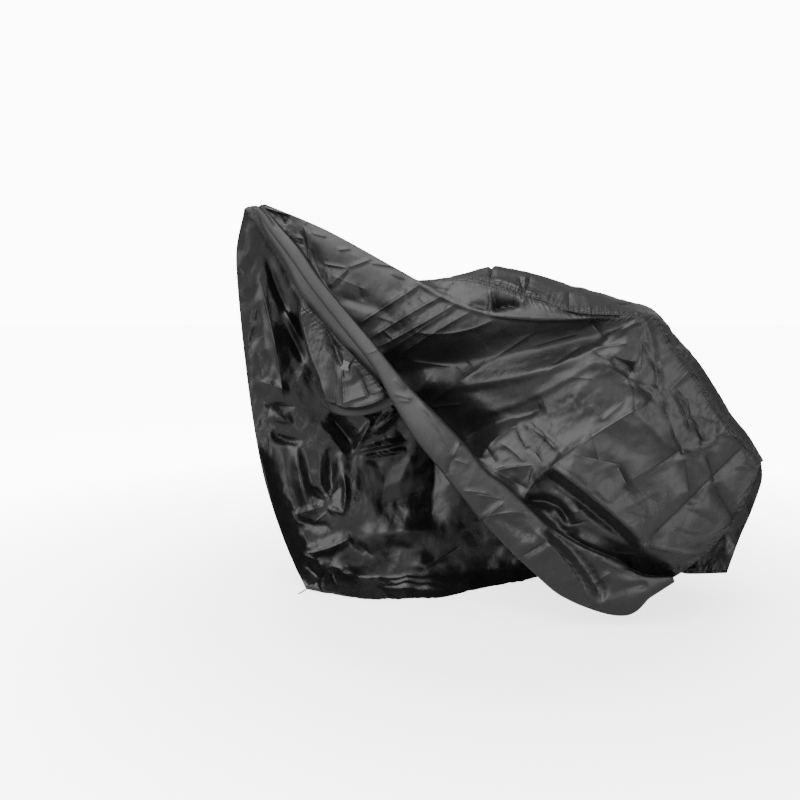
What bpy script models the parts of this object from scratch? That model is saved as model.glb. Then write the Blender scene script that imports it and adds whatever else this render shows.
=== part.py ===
"""A bicycle cover, half drawn over the bicycle that holds it up.

Two side panels and a gusset between them make a long hood that is open below and in front.
The near panel's front part is turned back and rolled along a diagonal; the far panel hangs
to the floor behind it. Metres, +Z up, +X to the tail, the near side faces -Y. The origin is
on the floor under the middle of the cover.

Shapes are drawn on a front elevation: millimetres along and above the floor, as they look
from an eye point in front of the cover, with each spot's depth behind the middle plane
(negative depths are nearer). Depths and drawn places make true positions in `placed`.
"""

import bpy
import bmesh
import numpy as np
from math import cos, pi, radians, sin

# ---------------------------------------------------------------- driving dimensions
MM = 0.001
CLOTH = 0.0016            # thickness of the coated cloth
NEAR_SEAM_GAP = 0.0019    # how far short of the near seam the gusset stops
FAR_SEAM_GAP = 0.0008     # how far short of the far seam the gusset and the far panel stop
PEAK_CLEARANCE = 0.009    # how far behind the roll's top the gusset passes
FLOOR_CLEARANCE = 0.0002  # lowest the cloth comes to the floor

EYE = (-0.270, -2.500, 0.915)   # where the elevation is drawn from
LOOK_DOWN = radians(6.1)
ELEVATION_AT = 2.439            # the drawing's distance in front of the eye
ELEVATION_EYE = (-0.270, 0.615)  # the drawn spot straight ahead of the eye
ORIGIN = (0.0348, 0.0688)       # the floor point under the cover's middle

WEBBING = (0.025, 0.0016)       # strap width and thickness
STRAP_END = (-429, 732, 86)     # on the elevation, and its depth
STRAP_TILT = radians(18)
HEM_TO_STRAP = 0.0012
TOUCHING = 0.0003               # the gap between pieces that touch
BUCKLE = (0.030, 0.030, 0.007)  # width, height, depth
CORD_DIAMETER = 0.004
CORD_ROUTE = np.array([(0, -1), (-5, -9), (-9, -20), (-13, -31), (-20, -40)])  # mm


def table(names, *rows):
    """Columns by name from rows written one section or fold to a line."""
    return {name: np.array(column, float) for name, column in zip(names.split(), zip(*rows))}


# The roll: the near panel's turned-back edge, from the peak down to the floor. A row is a
# section across it: its middle, half width across and half thickness, then the hidden hem.
ROLL = table(
    "at x z half thick depth hem_x hem_z hem_depth",
    (0, -694, 1196, 11, 9, 190, -706, 1190, 222),
    (1, -654, 1140, 15, 14, 182, -684, 1131, 217),
    (2, -582, 1050, 19, 18, 150, -621, 1029, 192),
    (3, -531, 975, 19, 18, 125, -579, 945, 167),
    (4, -435, 855, 21, 20, 85, -489, 834, 132),
    (5, -337, 735, 23, 22, 30, -372, 711, 82),
    (6, -261, 624, 36, 28, -10, -270, 609, 62),
    (7, -180, 522, 51, 32, -60, -180, 522, 10),
    (8, -111, 444, 54, 34, -90, -111, 444, -20),
    (9, -50, 366, 54, 34, -115, -50, 366, -45),
    (10, 17, 300, 65, 32, -135, 17, 300, -70),
    (11, 138, 183, 68, 30, -165, 138, 183, -105),
    (12, 256, 96, 81, 28, -190, 250, 105, -130),
    (13, 326, 66, 82, 26, -195, 326, 80, -140),
    (14, 406, 42, 74, 22, -195, 406, 55, -145),
    (15, 472, 54, 34, 15, -190, 474, 60, -155),
    (16, 519, 64, 12, 8, -185, 520, 66, -170),
)

# The near panel beyond the roll: a row is a rib from the roll over the ridge to the seam.
NEAR = table(
    "at mid_x mid_z ridge_x ridge_z valley low mid ridge seam_x seam_z seam",
    (0, -683, 1201, -676, 1203, 203, 204, 204, 203, -678, 1200, 216),
    (2, -537, 1098, -510, 1134, 178, 176, 168, 175, -513, 1116, 235),
    (4, -342, 939, -270, 1004, 125, 115, 95, 100, -279, 972, 170),
    (5, -216, 831, -114, 918, 110, 95, 45, 20, -78, 981, 60),
    (6, -102, 759, 21, 867, 100, 70, 10, -50, 6, 963, 0),
    (7, 15, 705, 165, 855, 60, 30, -40, -95, 141, 915, -40),
    (8, 114, 669, 306, 858, 10, -10, -80, -110, 294, 873, -95),
    (9, 228, 630, 474, 864, -20, -50, -120, -115, 483, 866, -112),
    (10, 300, 561, 543, 777, -50, -120, -145, -112, 549, 780, -110),
    (11, 396, 459, 603, 699, -80, -205, -180, -110, 608, 702, -108),
    (12, 495, 381, 669, 597, -90, -225, -182, -100, 674, 600, -98),
    (13, 555, 330, 711, 534, -90, -225, -170, -90, 716, 537, -88),
    (14, 624, 279, 765, 474, -95, -205, -145, -70, 770, 477, -68),
    (16, 711, 225, 804, 435, -110, -160, -95, -35, 809, 438, -33),
)

# The far seam, and how far the gusset crowns outwards between the two seams.
FAR_SEAM = table(
    "at x z depth crown",
    (0, -738, 1188, 262, 6),
    (2, -504, 999, 310, 15),
    (4, -276, 861, 270, 20),
    (5, -84, 927, 210, 40),
    (6, 6, 963, 190, 60),
    (7, 165, 936, 185, 55),
    (8, 270, 900, 170, 45),
    (9, 411, 861, 130, 40),
    (10, 465, 789, 130, 50),
    (11, 522, 714, 130, 60),
    (12, 585, 621, 125, 60),
    (13, 630, 555, 120, 55),
    (14, 696, 504, 100, 45),
    (16, 801, 429, 50, 20),
)

# The gusset's front end hangs from the peak below the roll: its far edge, how far it bellies
# forward and how far it sags.
DROOP = table(
    "at x z depth belly sag",
    (0, -738, 1188, 262, 0, 0),
    (1, -687, 1119, 250, 3, 0),
    (2, -618, 1011, 235, 5, 0),
    (3, -561, 909, 225, 10, 0),
    (4, -543, 801, 220, 25, 4),
    (5, -525, 705, 215, 40, 15),
    (6, -507, 603, 210, 45, 34),
)

# The far panel: a row is a rib from the far seam down to the hem on the floor.
FAR = table(
    "at shoulder_x shoulder_z shoulder waist_x waist_z waist knee_x knee_z knee "
    "foot_x foot_z foot hem_x hem_z hem",
    (0, -762, 1029, 280, -732, 705, 285, -684, 405, 240, -600, 150, 170, -552, 48, 119),
    (1, -654, 945, 295, -615, 645, 312, -570, 315, 290, -516, 120, 230, -465, 30, 70),
    (2, -495, 795, 330, -480, 555, 330, -435, 255, 310, -396, 99, 280, -345, 15, 25),
    (4, -285, 675, 330, -276, 465, 340, -255, 225, 320, -225, 93, 280, -180, 18, 35),
    (6, -30, 735, 290, -30, 495, 330, -15, 255, 340, 0, 111, 310, 15, 57, 160),
    (8, 240, 675, 260, 246, 465, 300, 264, 270, 300, 276, 165, 290, 285, 105, 270),
    (10, 450, 615, 200, 450, 435, 240, 456, 270, 240, 465, 180, 220, 474, 120, 190),
    (13, 606, 435, 150, 600, 315, 175, 600, 195, 175, 600, 135, 165, 600, 93, 150),
    (16, 816, 375, 70, 786, 285, 90, 753, 210, 100, 729, 147, 106, 711, 96, 110),
)

# Folds raise or sink the cloth along a drawn line. `above` and `below` are how far each side
# of the fold reaches, and `bow` is how far its middle arches up from the straight line.
NEAR_FOLDS = table(
    "x0 z0 x1 z1 height above below bow",
    (-174, 621, 366, 843, -42, 95, 60, 25),     # trough below the ridge
    (-84, 657, 354, 804, 24, 60, 50, -30),      # soft ridge across the upper panel
    (75, 549, 306, 720, 16, 60, 25, 0),         # packing crease
    (-264, 711, -30, 495, -35, 70, 25, 0),      # hollow beside the roll
    (138, 378, 474, 606, 14, 70, 50, 0),        # long packing crease
    (351, 303, 567, 459, -8, 45, 50, 0),
    (459, 183, 762, 471, -10, 60, 60, 0),       # crease up to the tail
    (165, 390, 450, 165, -55, 34, 60, 24),      # foot of the large bulge
    (93, 315, 255, 246, -30, 25, 30, 40),       # arch beside the flap
    (30, 270, 300, 20, 10, 35, 45, 0),          # ridge on the flap
    (465, 867, 495, 630, -12, 30, 30, 0),       # pleat below the rack's corner
    (678, 372, 735, 252, -8, 35, 35, 0),
    (-618, 1167, -528, 981, -14, 34, 26, 0),    # valley below the peak
    (-558, 1104, -264, 936, 14, 60, 50, 10),
    (-36, 906, 66, 915, -30, 28, 30, 0),        # pocket between ridge and seam
)

TOP_FOLDS = table(
    "x0 z0 x1 z1 height above below bow",
    (-3, 1016, 3, 966, -10, 24, 24, 0),         # tucks across the gusset over the saddle
    (105, 990, 102, 920, -10, 24, 24, 0),
    (234, 952, 246, 876, -8, 24, 24, 0),
    (-540, 900, -480, 600, 22, 30, 34, 0),      # hanging fold on the drooping end
    (-520, 880, -440, 740, -22, 30, 34, 0),
)

FAR_FOLDS = table(
    "x0 z0 x1 z1 height above below bow",
    (-645, 915, -579, 495, -25, 45, 45, 0),     # hanging folds behind the opening
    (-582, 273, -414, 381, 28, 55, 35, 0),
    (-345, 525, -234, 615, 32, 40, 34, 0),
    (-414, 459, -255, 471, 26, 34, 34, 0),
    (-504, 570, -414, 471, -28, 45, 45, 0),
    (-354, 80, -15, 64, 12, 20, 18, 0),         # roll of cloth along the floor
    (-150, 795, -180, 150, -30, 60, 70, 20),    # upright folds, seen from behind
    (90, 825, 100, 150, 24, 60, 60, -15),
    (230, 800, 215, 170, -26, 60, 60, 10),
    (370, 740, 360, 180, 20, 55, 55, 0),
    (540, 615, 510, 150, -16, 45, 45, 0),
)


# ---------------------------------------------------------------- drawing and curves
def placed(x, z, depth):
    """The world points behind spots of the elevation, for millimetre arrays."""
    x, z, depth = np.broadcast_arrays(x, z, depth)
    across = (x * MM - ELEVATION_EYE[0]) / ELEVATION_AT
    up = (z * MM - ELEVATION_EYE[1]) / ELEVATION_AT
    reach = depth * MM - EYE[1]
    c, s = cos(LOOK_DOWN), sin(LOOK_DOWN)
    rise = reach * (up * c - s) / (c + up * s)
    ahead = reach * c - rise * s
    height = EYE[2] + rise
    low = FLOOR_CLEARANCE + CLOTH / 2
    height = np.where(height > low, height, low)
    return np.stack([EYE[0] + across * ahead - ORIGIN[0], reach + EYE[1] - ORIGIN[1], height], -1)


def drawn(points):
    """Where world points show on the elevation, in millimetres."""
    x, y, z = np.moveaxis(points + (ORIGIN[0] - EYE[0], ORIGIN[1] - EYE[1], -EYE[2]), -1, 0)
    ahead = y * cos(LOOK_DOWN) - z * sin(LOOK_DOWN)
    up = y * sin(LOOK_DOWN) + z * cos(LOOK_DOWN)
    return (ELEVATION_EYE[0] + ELEVATION_AT * x / ahead) / MM, (
        ELEVATION_EYE[1] + ELEVATION_AT * up / ahead) / MM


def towards_eye(points):
    way = np.array([EYE[0] - ORIGIN[0], EYE[1] - ORIGIN[1], EYE[2]]) - points
    return way / np.linalg.norm(way, axis=-1, keepdims=True)


def outwards(grid):
    """Unit normals of a grid of points."""
    normal = np.cross(np.gradient(grid, axis=0), np.gradient(grid, axis=1))
    return normal / np.linalg.norm(normal, axis=-1, keepdims=True)


def fold_heights(points, folds):
    """How far the folds move each point, in millimetres."""
    x, z = drawn(points)
    total = np.zeros_like(x)
    for x0, z0, x1, z1, height, above, below, bow in zip(*folds.values()):
        length = np.hypot(x1 - x0, z1 - z0)
        run_x, run_z = (x1 - x0) / length, (z1 - z0) / length
        along_it = (x - x0) * run_x + (z - z0) * run_z
        share = np.clip(along_it / length, 0, 1)
        beside = (z - z0) * run_x - (x - x0) * run_z - bow * 4 * share * (1 - share)
        reach = np.abs(beside) / np.where(beside > 0, above, below)
        ends = np.clip(np.minimum(along_it, length - along_it) / (0.25 * length), 0, 1)
        total += height * np.clip(1 - reach, 0, 1) ** 2 * ends * (2 - ends)
    return total


def folded(grid, folds, way):
    """The grid with each point moved its way by the folds, and never below the floor."""
    moved = grid + way * fold_heights(grid, folds)[..., None] * MM
    moved[..., 2] = np.maximum(moved[..., 2], FLOOR_CLEARANCE + CLOTH / 2)
    return moved


def flow(knots, values, at):
    """A smooth curve through the values that never swings past them."""
    knots, values, at = np.asarray(knots, float), np.asarray(values, float), np.asarray(at, float)
    step = np.diff(knots)
    rise = np.diff(values, axis=0) / step.reshape(-1, *[1] * (values.ndim - 1))
    slope = np.zeros_like(values)
    same_way = rise[1:] * rise[:-1] > 0
    with np.errstate(divide="ignore", invalid="ignore"):
        mean = 2 * rise[1:] * rise[:-1] / (rise[1:] + rise[:-1])
    slope[1:-1] = np.where(same_way, mean, 0)
    slope[0], slope[-1] = rise[0], rise[-1]
    i = np.clip(np.searchsorted(knots, at, side="right") - 1, 0, len(step) - 1)
    shape = (-1,) + (1,) * (values.ndim - 1)
    h = step[i].reshape(shape)
    t = ((at - knots[i]) / step[i]).reshape(shape)
    return (
        values[i] * (1 + 2 * t) * (1 - t) ** 2
        + slope[i] * h * t * (1 - t) ** 2
        + values[i + 1] * t * t * (3 - 2 * t)
        + slope[i + 1] * h * t * t * (t - 1)
    )


def read(rows, at, names):
    """The named columns of a table at stations in between its rows."""
    return [flow(rows["at"], rows[name], at) for name in names.split()]


def along(points, count, ease=1.0):
    """`count` places spread evenly along curves given by rows of knots (rib, knot, xyz)."""
    knots = np.arange(points.shape[1])
    fine = np.linspace(0, knots[-1], 24 * len(knots))
    ribs = []
    for rib in points:
        curve = flow(knots, rib, fine)
        length = np.concatenate([[0], np.cumsum(np.linalg.norm(np.diff(curve, axis=0), axis=1))])
        wanted = np.linspace(0, 1, count) ** ease * length[-1]
        ribs.append(np.stack([np.interp(wanted, length, curve[:, k]) for k in range(3)], -1))
    return np.array(ribs)


# ---------------------------------------------------------------- the three sheets of cloth
def near_surface(stations, turned, round_, flat, over):
    """The near panel as a grid: hidden hem, round the roll, across the panel, over to the seam."""
    x, z, half, thick, depth, hem_x, hem_z, hem = read(
        ROLL, stations, "x z half thick depth hem_x hem_z hem_depth")
    mid_x, mid_z, ridge_x, ridge_z, valley, low, mid, ridge, seam_x, seam_z, seam = read(
        NEAR, stations, "mid_x mid_z ridge_x ridge_z valley low mid ridge seam_x seam_z seam")
    run_x, run_z = np.gradient(x, stations), np.gradient(z, stations)
    run = np.hypot(run_x, run_z)
    out_x, out_z = -run_z / run, run_x / run    # across the roll, to its upper right

    # round the roll, from its back, past its left edge and its front, to its right edge
    angle = np.linspace(1.62 * pi, 0.0, round_)[None, :]
    across = np.cos(angle) * half[:, None]
    roll = placed(x[:, None] + across * out_x[:, None], z[:, None] + across * out_z[:, None],
                  depth[:, None] - np.sin(angle) * thick[:, None])

    # the hidden part between the hem and the roll's back
    ease = np.linspace(0, 1, turned + 1)[:-1][None, :]
    back = angle[0, 0]
    back_x = x + cos(back) * half * out_x
    back_z = z + cos(back) * half * out_z
    back_depth = depth - sin(back) * thick
    inner = placed(hem_x[:, None] * (1 - ease) + back_x[:, None] * ease,
                   hem_z[:, None] * (1 - ease) + back_z[:, None] * ease,
                   hem[:, None] * (1 - ease) + back_depth[:, None] * ease)

    # from the roll's right edge down into the valley and out across the panel to the ridge
    edge_x, edge_z = x + half * out_x, z + half * out_z
    share = np.linspace(0, 1, flat + 1)[1:][None, :]
    bend_x = 4 * mid_x - 2 * edge_x - 2 * ridge_x     # a rib bows to pass its middle
    bend_z = 4 * mid_z - 2 * edge_z - 2 * ridge_z
    panel_x = edge_x[:, None] * (1 - share) + ridge_x[:, None] * share
    panel_z = edge_z[:, None] * (1 - share) + ridge_z[:, None] * share
    panel_x = panel_x + bend_x[:, None] * share * (1 - share)
    panel_z = panel_z + bend_z[:, None] * share * (1 - share)
    fuller = flow([0, 9, 12, 16], [0, 0, 0.33, 0.33], stations)[:, None]    # low over the flap
    nearer = share ** (1 - fuller)
    knots = np.stack([depth, valley, low, mid, ridge], -1)
    depths = np.array([flow([0, 0.05, 0.28, 0.6, 1.0], rib, at) for rib, at in zip(knots, nearer)])
    panel = placed(panel_x, panel_z, depths)

    # over the ridge, up to the seam
    over_share = np.linspace(0, 1, over + 1)[1:][None, :]
    top = placed(ridge_x[:, None] * (1 - over_share) + seam_x[:, None] * over_share,
                 ridge_z[:, None] * (1 - over_share) + seam_z[:, None] * over_share,
                 ridge[:, None] * (1 - over_share) + seam[:, None] * over_share)
    return np.concatenate([inner, roll, panel, top], axis=1)


def seam_line(stations):
    """The near seam over the saddle and tail, and past the peak the near panel's turned hem."""
    top = placed(*read(NEAR, np.clip(stations, 0, 16), "seam_x seam_z seam"))
    hem_x, hem_z, hem = read(ROLL, np.clip(-stations, 0, 16), "hem_x hem_z hem_depth")
    front = placed(hem_x, hem_z, hem + 3)
    mix = np.clip(stations + 0.5, 0, 1)[:, None]
    line = top * mix + front * (1 - mix)
    line[:, 1] += PEAK_CLEARANCE * np.exp(-((stations / 0.8) ** 2))
    return line


def far_line(stations):
    top = placed(*read(FAR_SEAM, np.clip(stations, 0, 16), "x z depth"))
    front = placed(*read(DROOP, np.clip(-stations, 0, 6), "x z depth"))
    return np.where((stations < 0)[:, None], front, top)


def gusset_surface(stations, count):
    """The strip between the seams, crowned outwards over the top and drooping in front."""
    near, far = seam_line(stations), far_line(stations)
    crown, = read(FAR_SEAM, np.clip(stations, 0, 16), "crown")
    belly, sag = read(DROOP, np.clip(-stations, 0, 6), "belly sag")
    width = far - near
    run = np.gradient((near + far) / 2, axis=0)
    out = np.cross(width, run)
    out /= np.linalg.norm(out, axis=1, keepdims=True)
    out *= np.where(out[:, 2:3] * (stations >= 0)[:, None] < 0, -1, 1)
    toward = np.where(out[:, 1:2] > 0, -out, out)
    lift = np.where((stations < 0)[:, None], toward * belly[:, None], out * crown[:, None]) * MM
    length = np.linalg.norm(width, axis=1)[:, None, None]
    share = np.linspace(0, 1, count)[None, :, None]
    share = (NEAR_SEAM_GAP * (1 - share) + (length - FAR_SEAM_GAP) * share) / length
    arch = 4 * share * (1 - share)
    grid = near[:, None] + width[:, None] * share + lift[:, None] * arch
    grid[..., 2] -= (sag * MM)[:, None] * arch[..., 0]
    return grid


def far_surface(stations, count):
    """The far panel as a grid from the far seam down to the hem."""
    top = far_line(stations)
    knots = [top]
    for name in ("shoulder", "waist", "knee", "foot", "hem"):
        knots.append(placed(*read(FAR, stations, f"{name}_x {name}_z {name}")))
    knots = np.stack(knots, axis=1)
    direction = knots[:, 1] - knots[:, 0]
    knots[:, 0] += direction / np.linalg.norm(direction, axis=1, keepdims=True) * FAR_SEAM_GAP
    return along(knots, count)


# ---------------------------------------------------------------- Blender objects
def clear_scene():
    for thing in list(bpy.data.objects):
        bpy.data.objects.remove(thing, do_unlink=True)


def material(name, colour, roughness, metallic=0.0):
    made = bpy.data.materials.new(name)
    made.use_nodes = True
    shader = made.node_tree.nodes["Principled BSDF"]
    shader.inputs["Base Color"].default_value = (*colour, 1)
    shader.inputs["Roughness"].default_value = roughness
    shader.inputs["Metallic"].default_value = metallic
    return made


def as_object(name, bm, finish, collection):
    mesh = bpy.data.meshes.new(name)
    bm.to_mesh(mesh)
    bm.free()
    made = bpy.data.objects.new(name, mesh)
    mesh.materials.append(finish)
    collection.objects.link(made)
    return made


def sheet(name, grid, finish, collection, thickness=CLOTH):
    """A sheet of cloth: a created grid moved to its places, with Solidify for its thickness."""
    rows, columns = grid.shape[:2]
    bm = bmesh.new()
    bmesh.ops.create_grid(bm, x_segments=columns - 1, y_segments=rows - 1, size=0.5)
    places = grid.reshape(-1, 3)
    for vertex, place in zip(bm.verts, places):
        vertex.co = place
    made = as_object(name, bm, finish, collection)
    made.data.shade_smooth()
    solid = made.modifiers.new("thickness", "SOLIDIFY")
    solid.thickness = thickness
    solid.offset = 0
    return made


def strap_grid():
    """The webbing hangs from the hem, down in front of the drooping cloth."""
    top = seam_line(np.linspace(-4.72, -4.46, 4))
    top = top + towards_eye(top) * HEM_TO_STRAP
    side = np.array([-cos(STRAP_TILT), 0, sin(STRAP_TILT)]) * WEBBING[0]
    end = placed(*STRAP_END) + side * np.linspace(-0.5, 0.5, 4)[:, None]
    drop = np.linspace(0, 1, 6)[:, None, None]
    start = top - np.array([0, 0, WEBBING[1] / 2 + HEM_TO_STRAP])
    return start * (1 - drop) + end * drop


def buckle(finish, collection):
    """A moulded buckle half: a flat outline with a waist on the strap's end."""
    width, height, depth = BUCKLE
    outline = [(-0.42, 0), (0.42, 0), (0.30, -0.40), (0.32, -0.62), (0.5, -0.84), (0.44, -1.0),
               (-0.44, -1.0), (-0.5, -0.84), (-0.32, -0.62), (-0.30, -0.40)]
    curve = bpy.data.curves.new("strap_buckle", "CURVE")
    curve.dimensions, curve.fill_mode, curve.extrude = "2D", "BOTH", depth / 2
    spline = curve.splines.new("POLY")
    spline.points.add(len(outline) - 1)
    for point, (x, y) in zip(spline.points, outline):
        point.co = (x * width, y * height - TOUCHING - WEBBING[1] / 4, 0, 1)
    spline.use_cyclic_u = True
    made = bpy.data.objects.new("strap_buckle", curve)
    curve.materials.append(finish)
    collection.objects.link(made)
    made.location = placed(*STRAP_END)
    made.rotation_euler = (radians(90), STRAP_TILT, 0)


def drawcord(finish, collection):
    """A short cord end on the floor, out of the far panel's front corner."""
    corner = folded_far(np.array([0.0, 0.5]), 25)[0, -1]
    route = CORD_ROUTE * MM
    curve = bpy.data.curves.new("hem_drawcord", "CURVE")
    curve.dimensions, curve.bevel_depth, curve.bevel_resolution = "3D", CORD_DIAMETER / 2, 2
    curve.use_fill_caps = True
    steps = np.linspace(0, len(route) - 1, 8)
    spline = curve.splines.new("POLY")
    spline.points.add(len(steps) - 1)
    for point, (x, y) in zip(spline.points, flow(np.arange(len(route)), route, steps)):
        point.co = (corner[0] + x, corner[1] + y, CORD_DIAMETER / 2 + FLOOR_CLEARANCE, 1)
    made = bpy.data.objects.new("hem_drawcord", curve)
    curve.materials.append(finish)
    collection.objects.link(made)


def folded_near(stations, *counts):
    grid = near_surface(stations, *counts)
    return folded(grid, NEAR_FOLDS, towards_eye(grid))


def folded_gusset(stations, count):
    grid = gusset_surface(stations, count)
    return folded(grid, TOP_FOLDS, outwards(grid))


def folded_far(stations, count):
    grid = far_surface(stations, count)
    return folded(grid, FAR_FOLDS, towards_eye(grid))


def main():
    clear_scene()
    cover = bpy.data.collections.new("bicycle_cover")
    bpy.context.scene.collection.children.link(cover)
    cloth = material("black_coated_cloth", (0.022, 0.022, 0.024), 0.42)
    webbing = material("grey_webbing", (0.03, 0.03, 0.032), 0.8)
    plastic = material("buckle_plastic", (0.12, 0.12, 0.12), 0.35)
    cord = material("black_cord", (0.03, 0.03, 0.03), 0.7)

    sheet("side_panel_near", folded_near(np.linspace(0, 16, 37), 2, 9, 11, 2), cloth, cover)
    sheet("side_panel_far", folded_far(np.linspace(0, 16, 33), 25), cloth, cover)
    sheet("top_gusset", folded_gusset(np.linspace(-6, 16, 45), 8), cloth, cover)
    sheet("closing_strap", strap_grid(), webbing, cover, WEBBING[1])
    buckle(plastic, cover)
    drawcord(cord, cover)


main()
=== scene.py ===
"""A black bicycle cover, half drawn over the bicycle that it hangs on.

The cloth is drawn on a front elevation, as it looks from one eye point, with each spot's depth
behind the middle plane. Stations run from 0 at the front peak to 16 at the tail, and back from 0
to -6 down the drooping front end. Main shapes are in millimetres; folds are on a drawing at a
third of full size, with their heights in full millimetres. Metres elsewhere, +Z up, near side
towards -Y.
"""
from math import cos, pi, radians, sin

import bmesh
import bpy
import numpy as np
from mathutils import Matrix, Vector


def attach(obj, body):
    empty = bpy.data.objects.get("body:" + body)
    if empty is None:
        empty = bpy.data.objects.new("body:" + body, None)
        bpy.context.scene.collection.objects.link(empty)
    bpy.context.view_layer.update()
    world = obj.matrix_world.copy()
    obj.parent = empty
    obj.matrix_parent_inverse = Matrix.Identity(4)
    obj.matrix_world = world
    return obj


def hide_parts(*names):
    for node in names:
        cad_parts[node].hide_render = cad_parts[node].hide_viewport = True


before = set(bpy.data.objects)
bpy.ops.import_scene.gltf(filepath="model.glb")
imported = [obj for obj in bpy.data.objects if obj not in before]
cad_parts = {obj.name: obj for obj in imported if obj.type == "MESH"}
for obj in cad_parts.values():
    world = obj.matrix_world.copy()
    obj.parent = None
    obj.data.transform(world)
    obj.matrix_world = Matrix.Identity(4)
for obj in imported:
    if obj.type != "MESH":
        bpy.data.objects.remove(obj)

MM = 0.001
CLOTH = 0.0011            # thickness of the coated cloth
NEAR_SEAM_GAP = 0.0006    # how far short of the near seam the gusset stops
FAR_SEAM_GAP = 0.0004     # how far short of the far seam the gusset and the far panel stop
PEAK_CLEARANCE = 0.009    # how far behind the roll's top the gusset passes
LOWEST = 0.0009           # lowest that a sheet's middle comes to the floor

EYE = (-0.270, -2.500, 0.915)      # where the elevation is drawn from
LOOK_DOWN = radians(6.1)
ELEVATION_AT = 2.439               # the drawing's distance in front of the eye
ELEVATION_EYE = (-0.270, 0.615)    # the drawn spot straight ahead of the eye
ORIGIN = (0.0348, 0.0688)          # the floor point under the cover's middle
LENS_PER_SENSOR = 813 / 800        # focal length over sensor width
DRAWING = 3.0                      # the fold drawing's scale, 1 to 3

TAIL, DROOP_END = 16, 6            # the last stations
NEAR_ROWS, TOP_GRID, FAR_GRID = 321, (441, 44), (300, 160)  # rows, and rows by columns
HEM_COLUMNS, ROLL_COLUMNS, PANEL_COLUMNS, OVER_COLUMNS = 3, 34, 100, 12  # near panel's columns
ROLL_START = 1.62 * pi             # where round the roll its cloth begins, behind it
TUCKED = -0.3                      # half turns that it goes on past the roll's right edge
FLATNESS, EDGE_FLATNESS = 0.75, 0.4  # below 1 flattens the roll's front, and its right edge
FOLD_TAPER = 0.18                  # share of a fold over which it runs out at each end
FAR_TAPER, FAR_DEEPER = 0.42, 1.15  # the far panel's folds run out more slowly and are deeper
CALM_PANEL = (20, 238, 100, 48)    # the smooth upper panel: middle and half sizes, drawn
CALM = 0.35                        # how creased the calmest cloth is
WIDE_REGION = 200                  # a crumpled region this wide, drawn, adds no small creases

LINE_MAPS = 6                      # how many maps hold the sharp creases' lines
LINE_SOFTEST = 0.2                 # softer folds have no line
LINE_REACH = 5.0                   # how far a line's strength reaches, on the fold drawing
LINE_ENDS = 6                      # how far past its ends a line keeps its map to itself
LINE_TAPER = 0.15                  # share of a line over which it runs out at each end
FULL_LINE, FAINTEST = 8, 0.35      # height in mm of a fold with a full line, and the least share
LINE_WIDTH, LINE_HEIGHT = 0.0045, 0.0020  # half the width of a sharp crease, and its height
WEAVE, WEAVE_DEPTH = 5200.0, 0.00004  # the cloth's weave, in radians to a metre, and its depth
BLOTCHES, SPECKLES = 5.0, 60.0     # how many to a metre
SPECKLE_SPREAD = 0.10              # how far the speckles change the cloth's roughness
FINE_CREASES = ((13.0, 0.0045), (34.0, 0.0022), (80.0, 0.0010))  # how many to a metre, how deep
GATHERS = (85.0, 20.0, 0.06, 0.012)  # to a metre along and across a seam, their reach and depth
STITCH_ROWS = (0.004, 0.011)       # how far from the seam
STITCH = (0.0020, 0.0055, 0.0016)  # half width of a row, length of a stitch and its depth
SHEEN_LEVEL = 0.5                  # how strongly the cloth's outer side reflects
COATING_LEVEL = 0.5                # the same for its inner side

WEBBING = (0.025, 0.0014)          # strap width and thickness
RIB, PICK = 0.0022, 0.0012         # its weave, across and along
STRAP_END = (-429, 732, 86)        # on the elevation, and its depth
STRAP_TILT = radians(18)
HEM_TO_STRAP = 0.0012
BUCKLE = (0.029, 0.029, 0.0062)    # width, height, depth
BUCKLE_BARS = ((-0.16, 0.10), (-0.86, 0.08))  # middle and height, as shares of the buckle's
CORD_DIAMETER = 0.004
CORD_ROUTE = np.array([(0, -1), (-5, -9), (-9, -20), (-13, -31), (-20, -40)])  # mm

ROOM = 0.15                        # how bright the room is
LIT_FROM = (-0.45, -0.55, 0.70)    # where the room is brightest
CEILING = 1.25                     # how much brighter it is there
BACKDROP = 12.0                    # how bright the camera sees the room
FLOOR_GLOW, GLOW_FROM = 2.5, 0.6   # how bright it sees the floor, and from where on brighter
LIGHTS = (  # name, place, aim, size, power
    ("overhead_softbox", (-0.9, -0.6, 3.2), (0, 0, 0.3), (3.0, 2.4), 62),
    ("front_fill", (-2.6, -2.8, 2.6), (0, 0, 0.6), (3.2, 2.4), 42),
    ("right_fill", (2.9, -3.0, 1.0), (0.3, 0, 0.4), (3.0, 2.4), 72),
    ("back_left", (-2.8, 2.6, 2.2), (0, 0.2, 0.5), (2.4, 2.4), 60),
    ("back_right", (2.6, 3.4, 2.8), (0.2, 0.2, 0.4), (2.0, 2.0), 7),
    ("left_fill", (-3.2, -1.3, 0.9), (-0.5, 0, 0.4), (2.4, 1.6), 26),
)

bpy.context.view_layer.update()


def table(names, *rows):
    """Columns by name from rows written one section or fold to a line, less their last zeros."""
    filled = [row + (0,) * (len(names.split()) - len(row)) for row in rows]
    return {name: np.array(column, float) for name, column in zip(names.split(), zip(*filled))}


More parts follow.
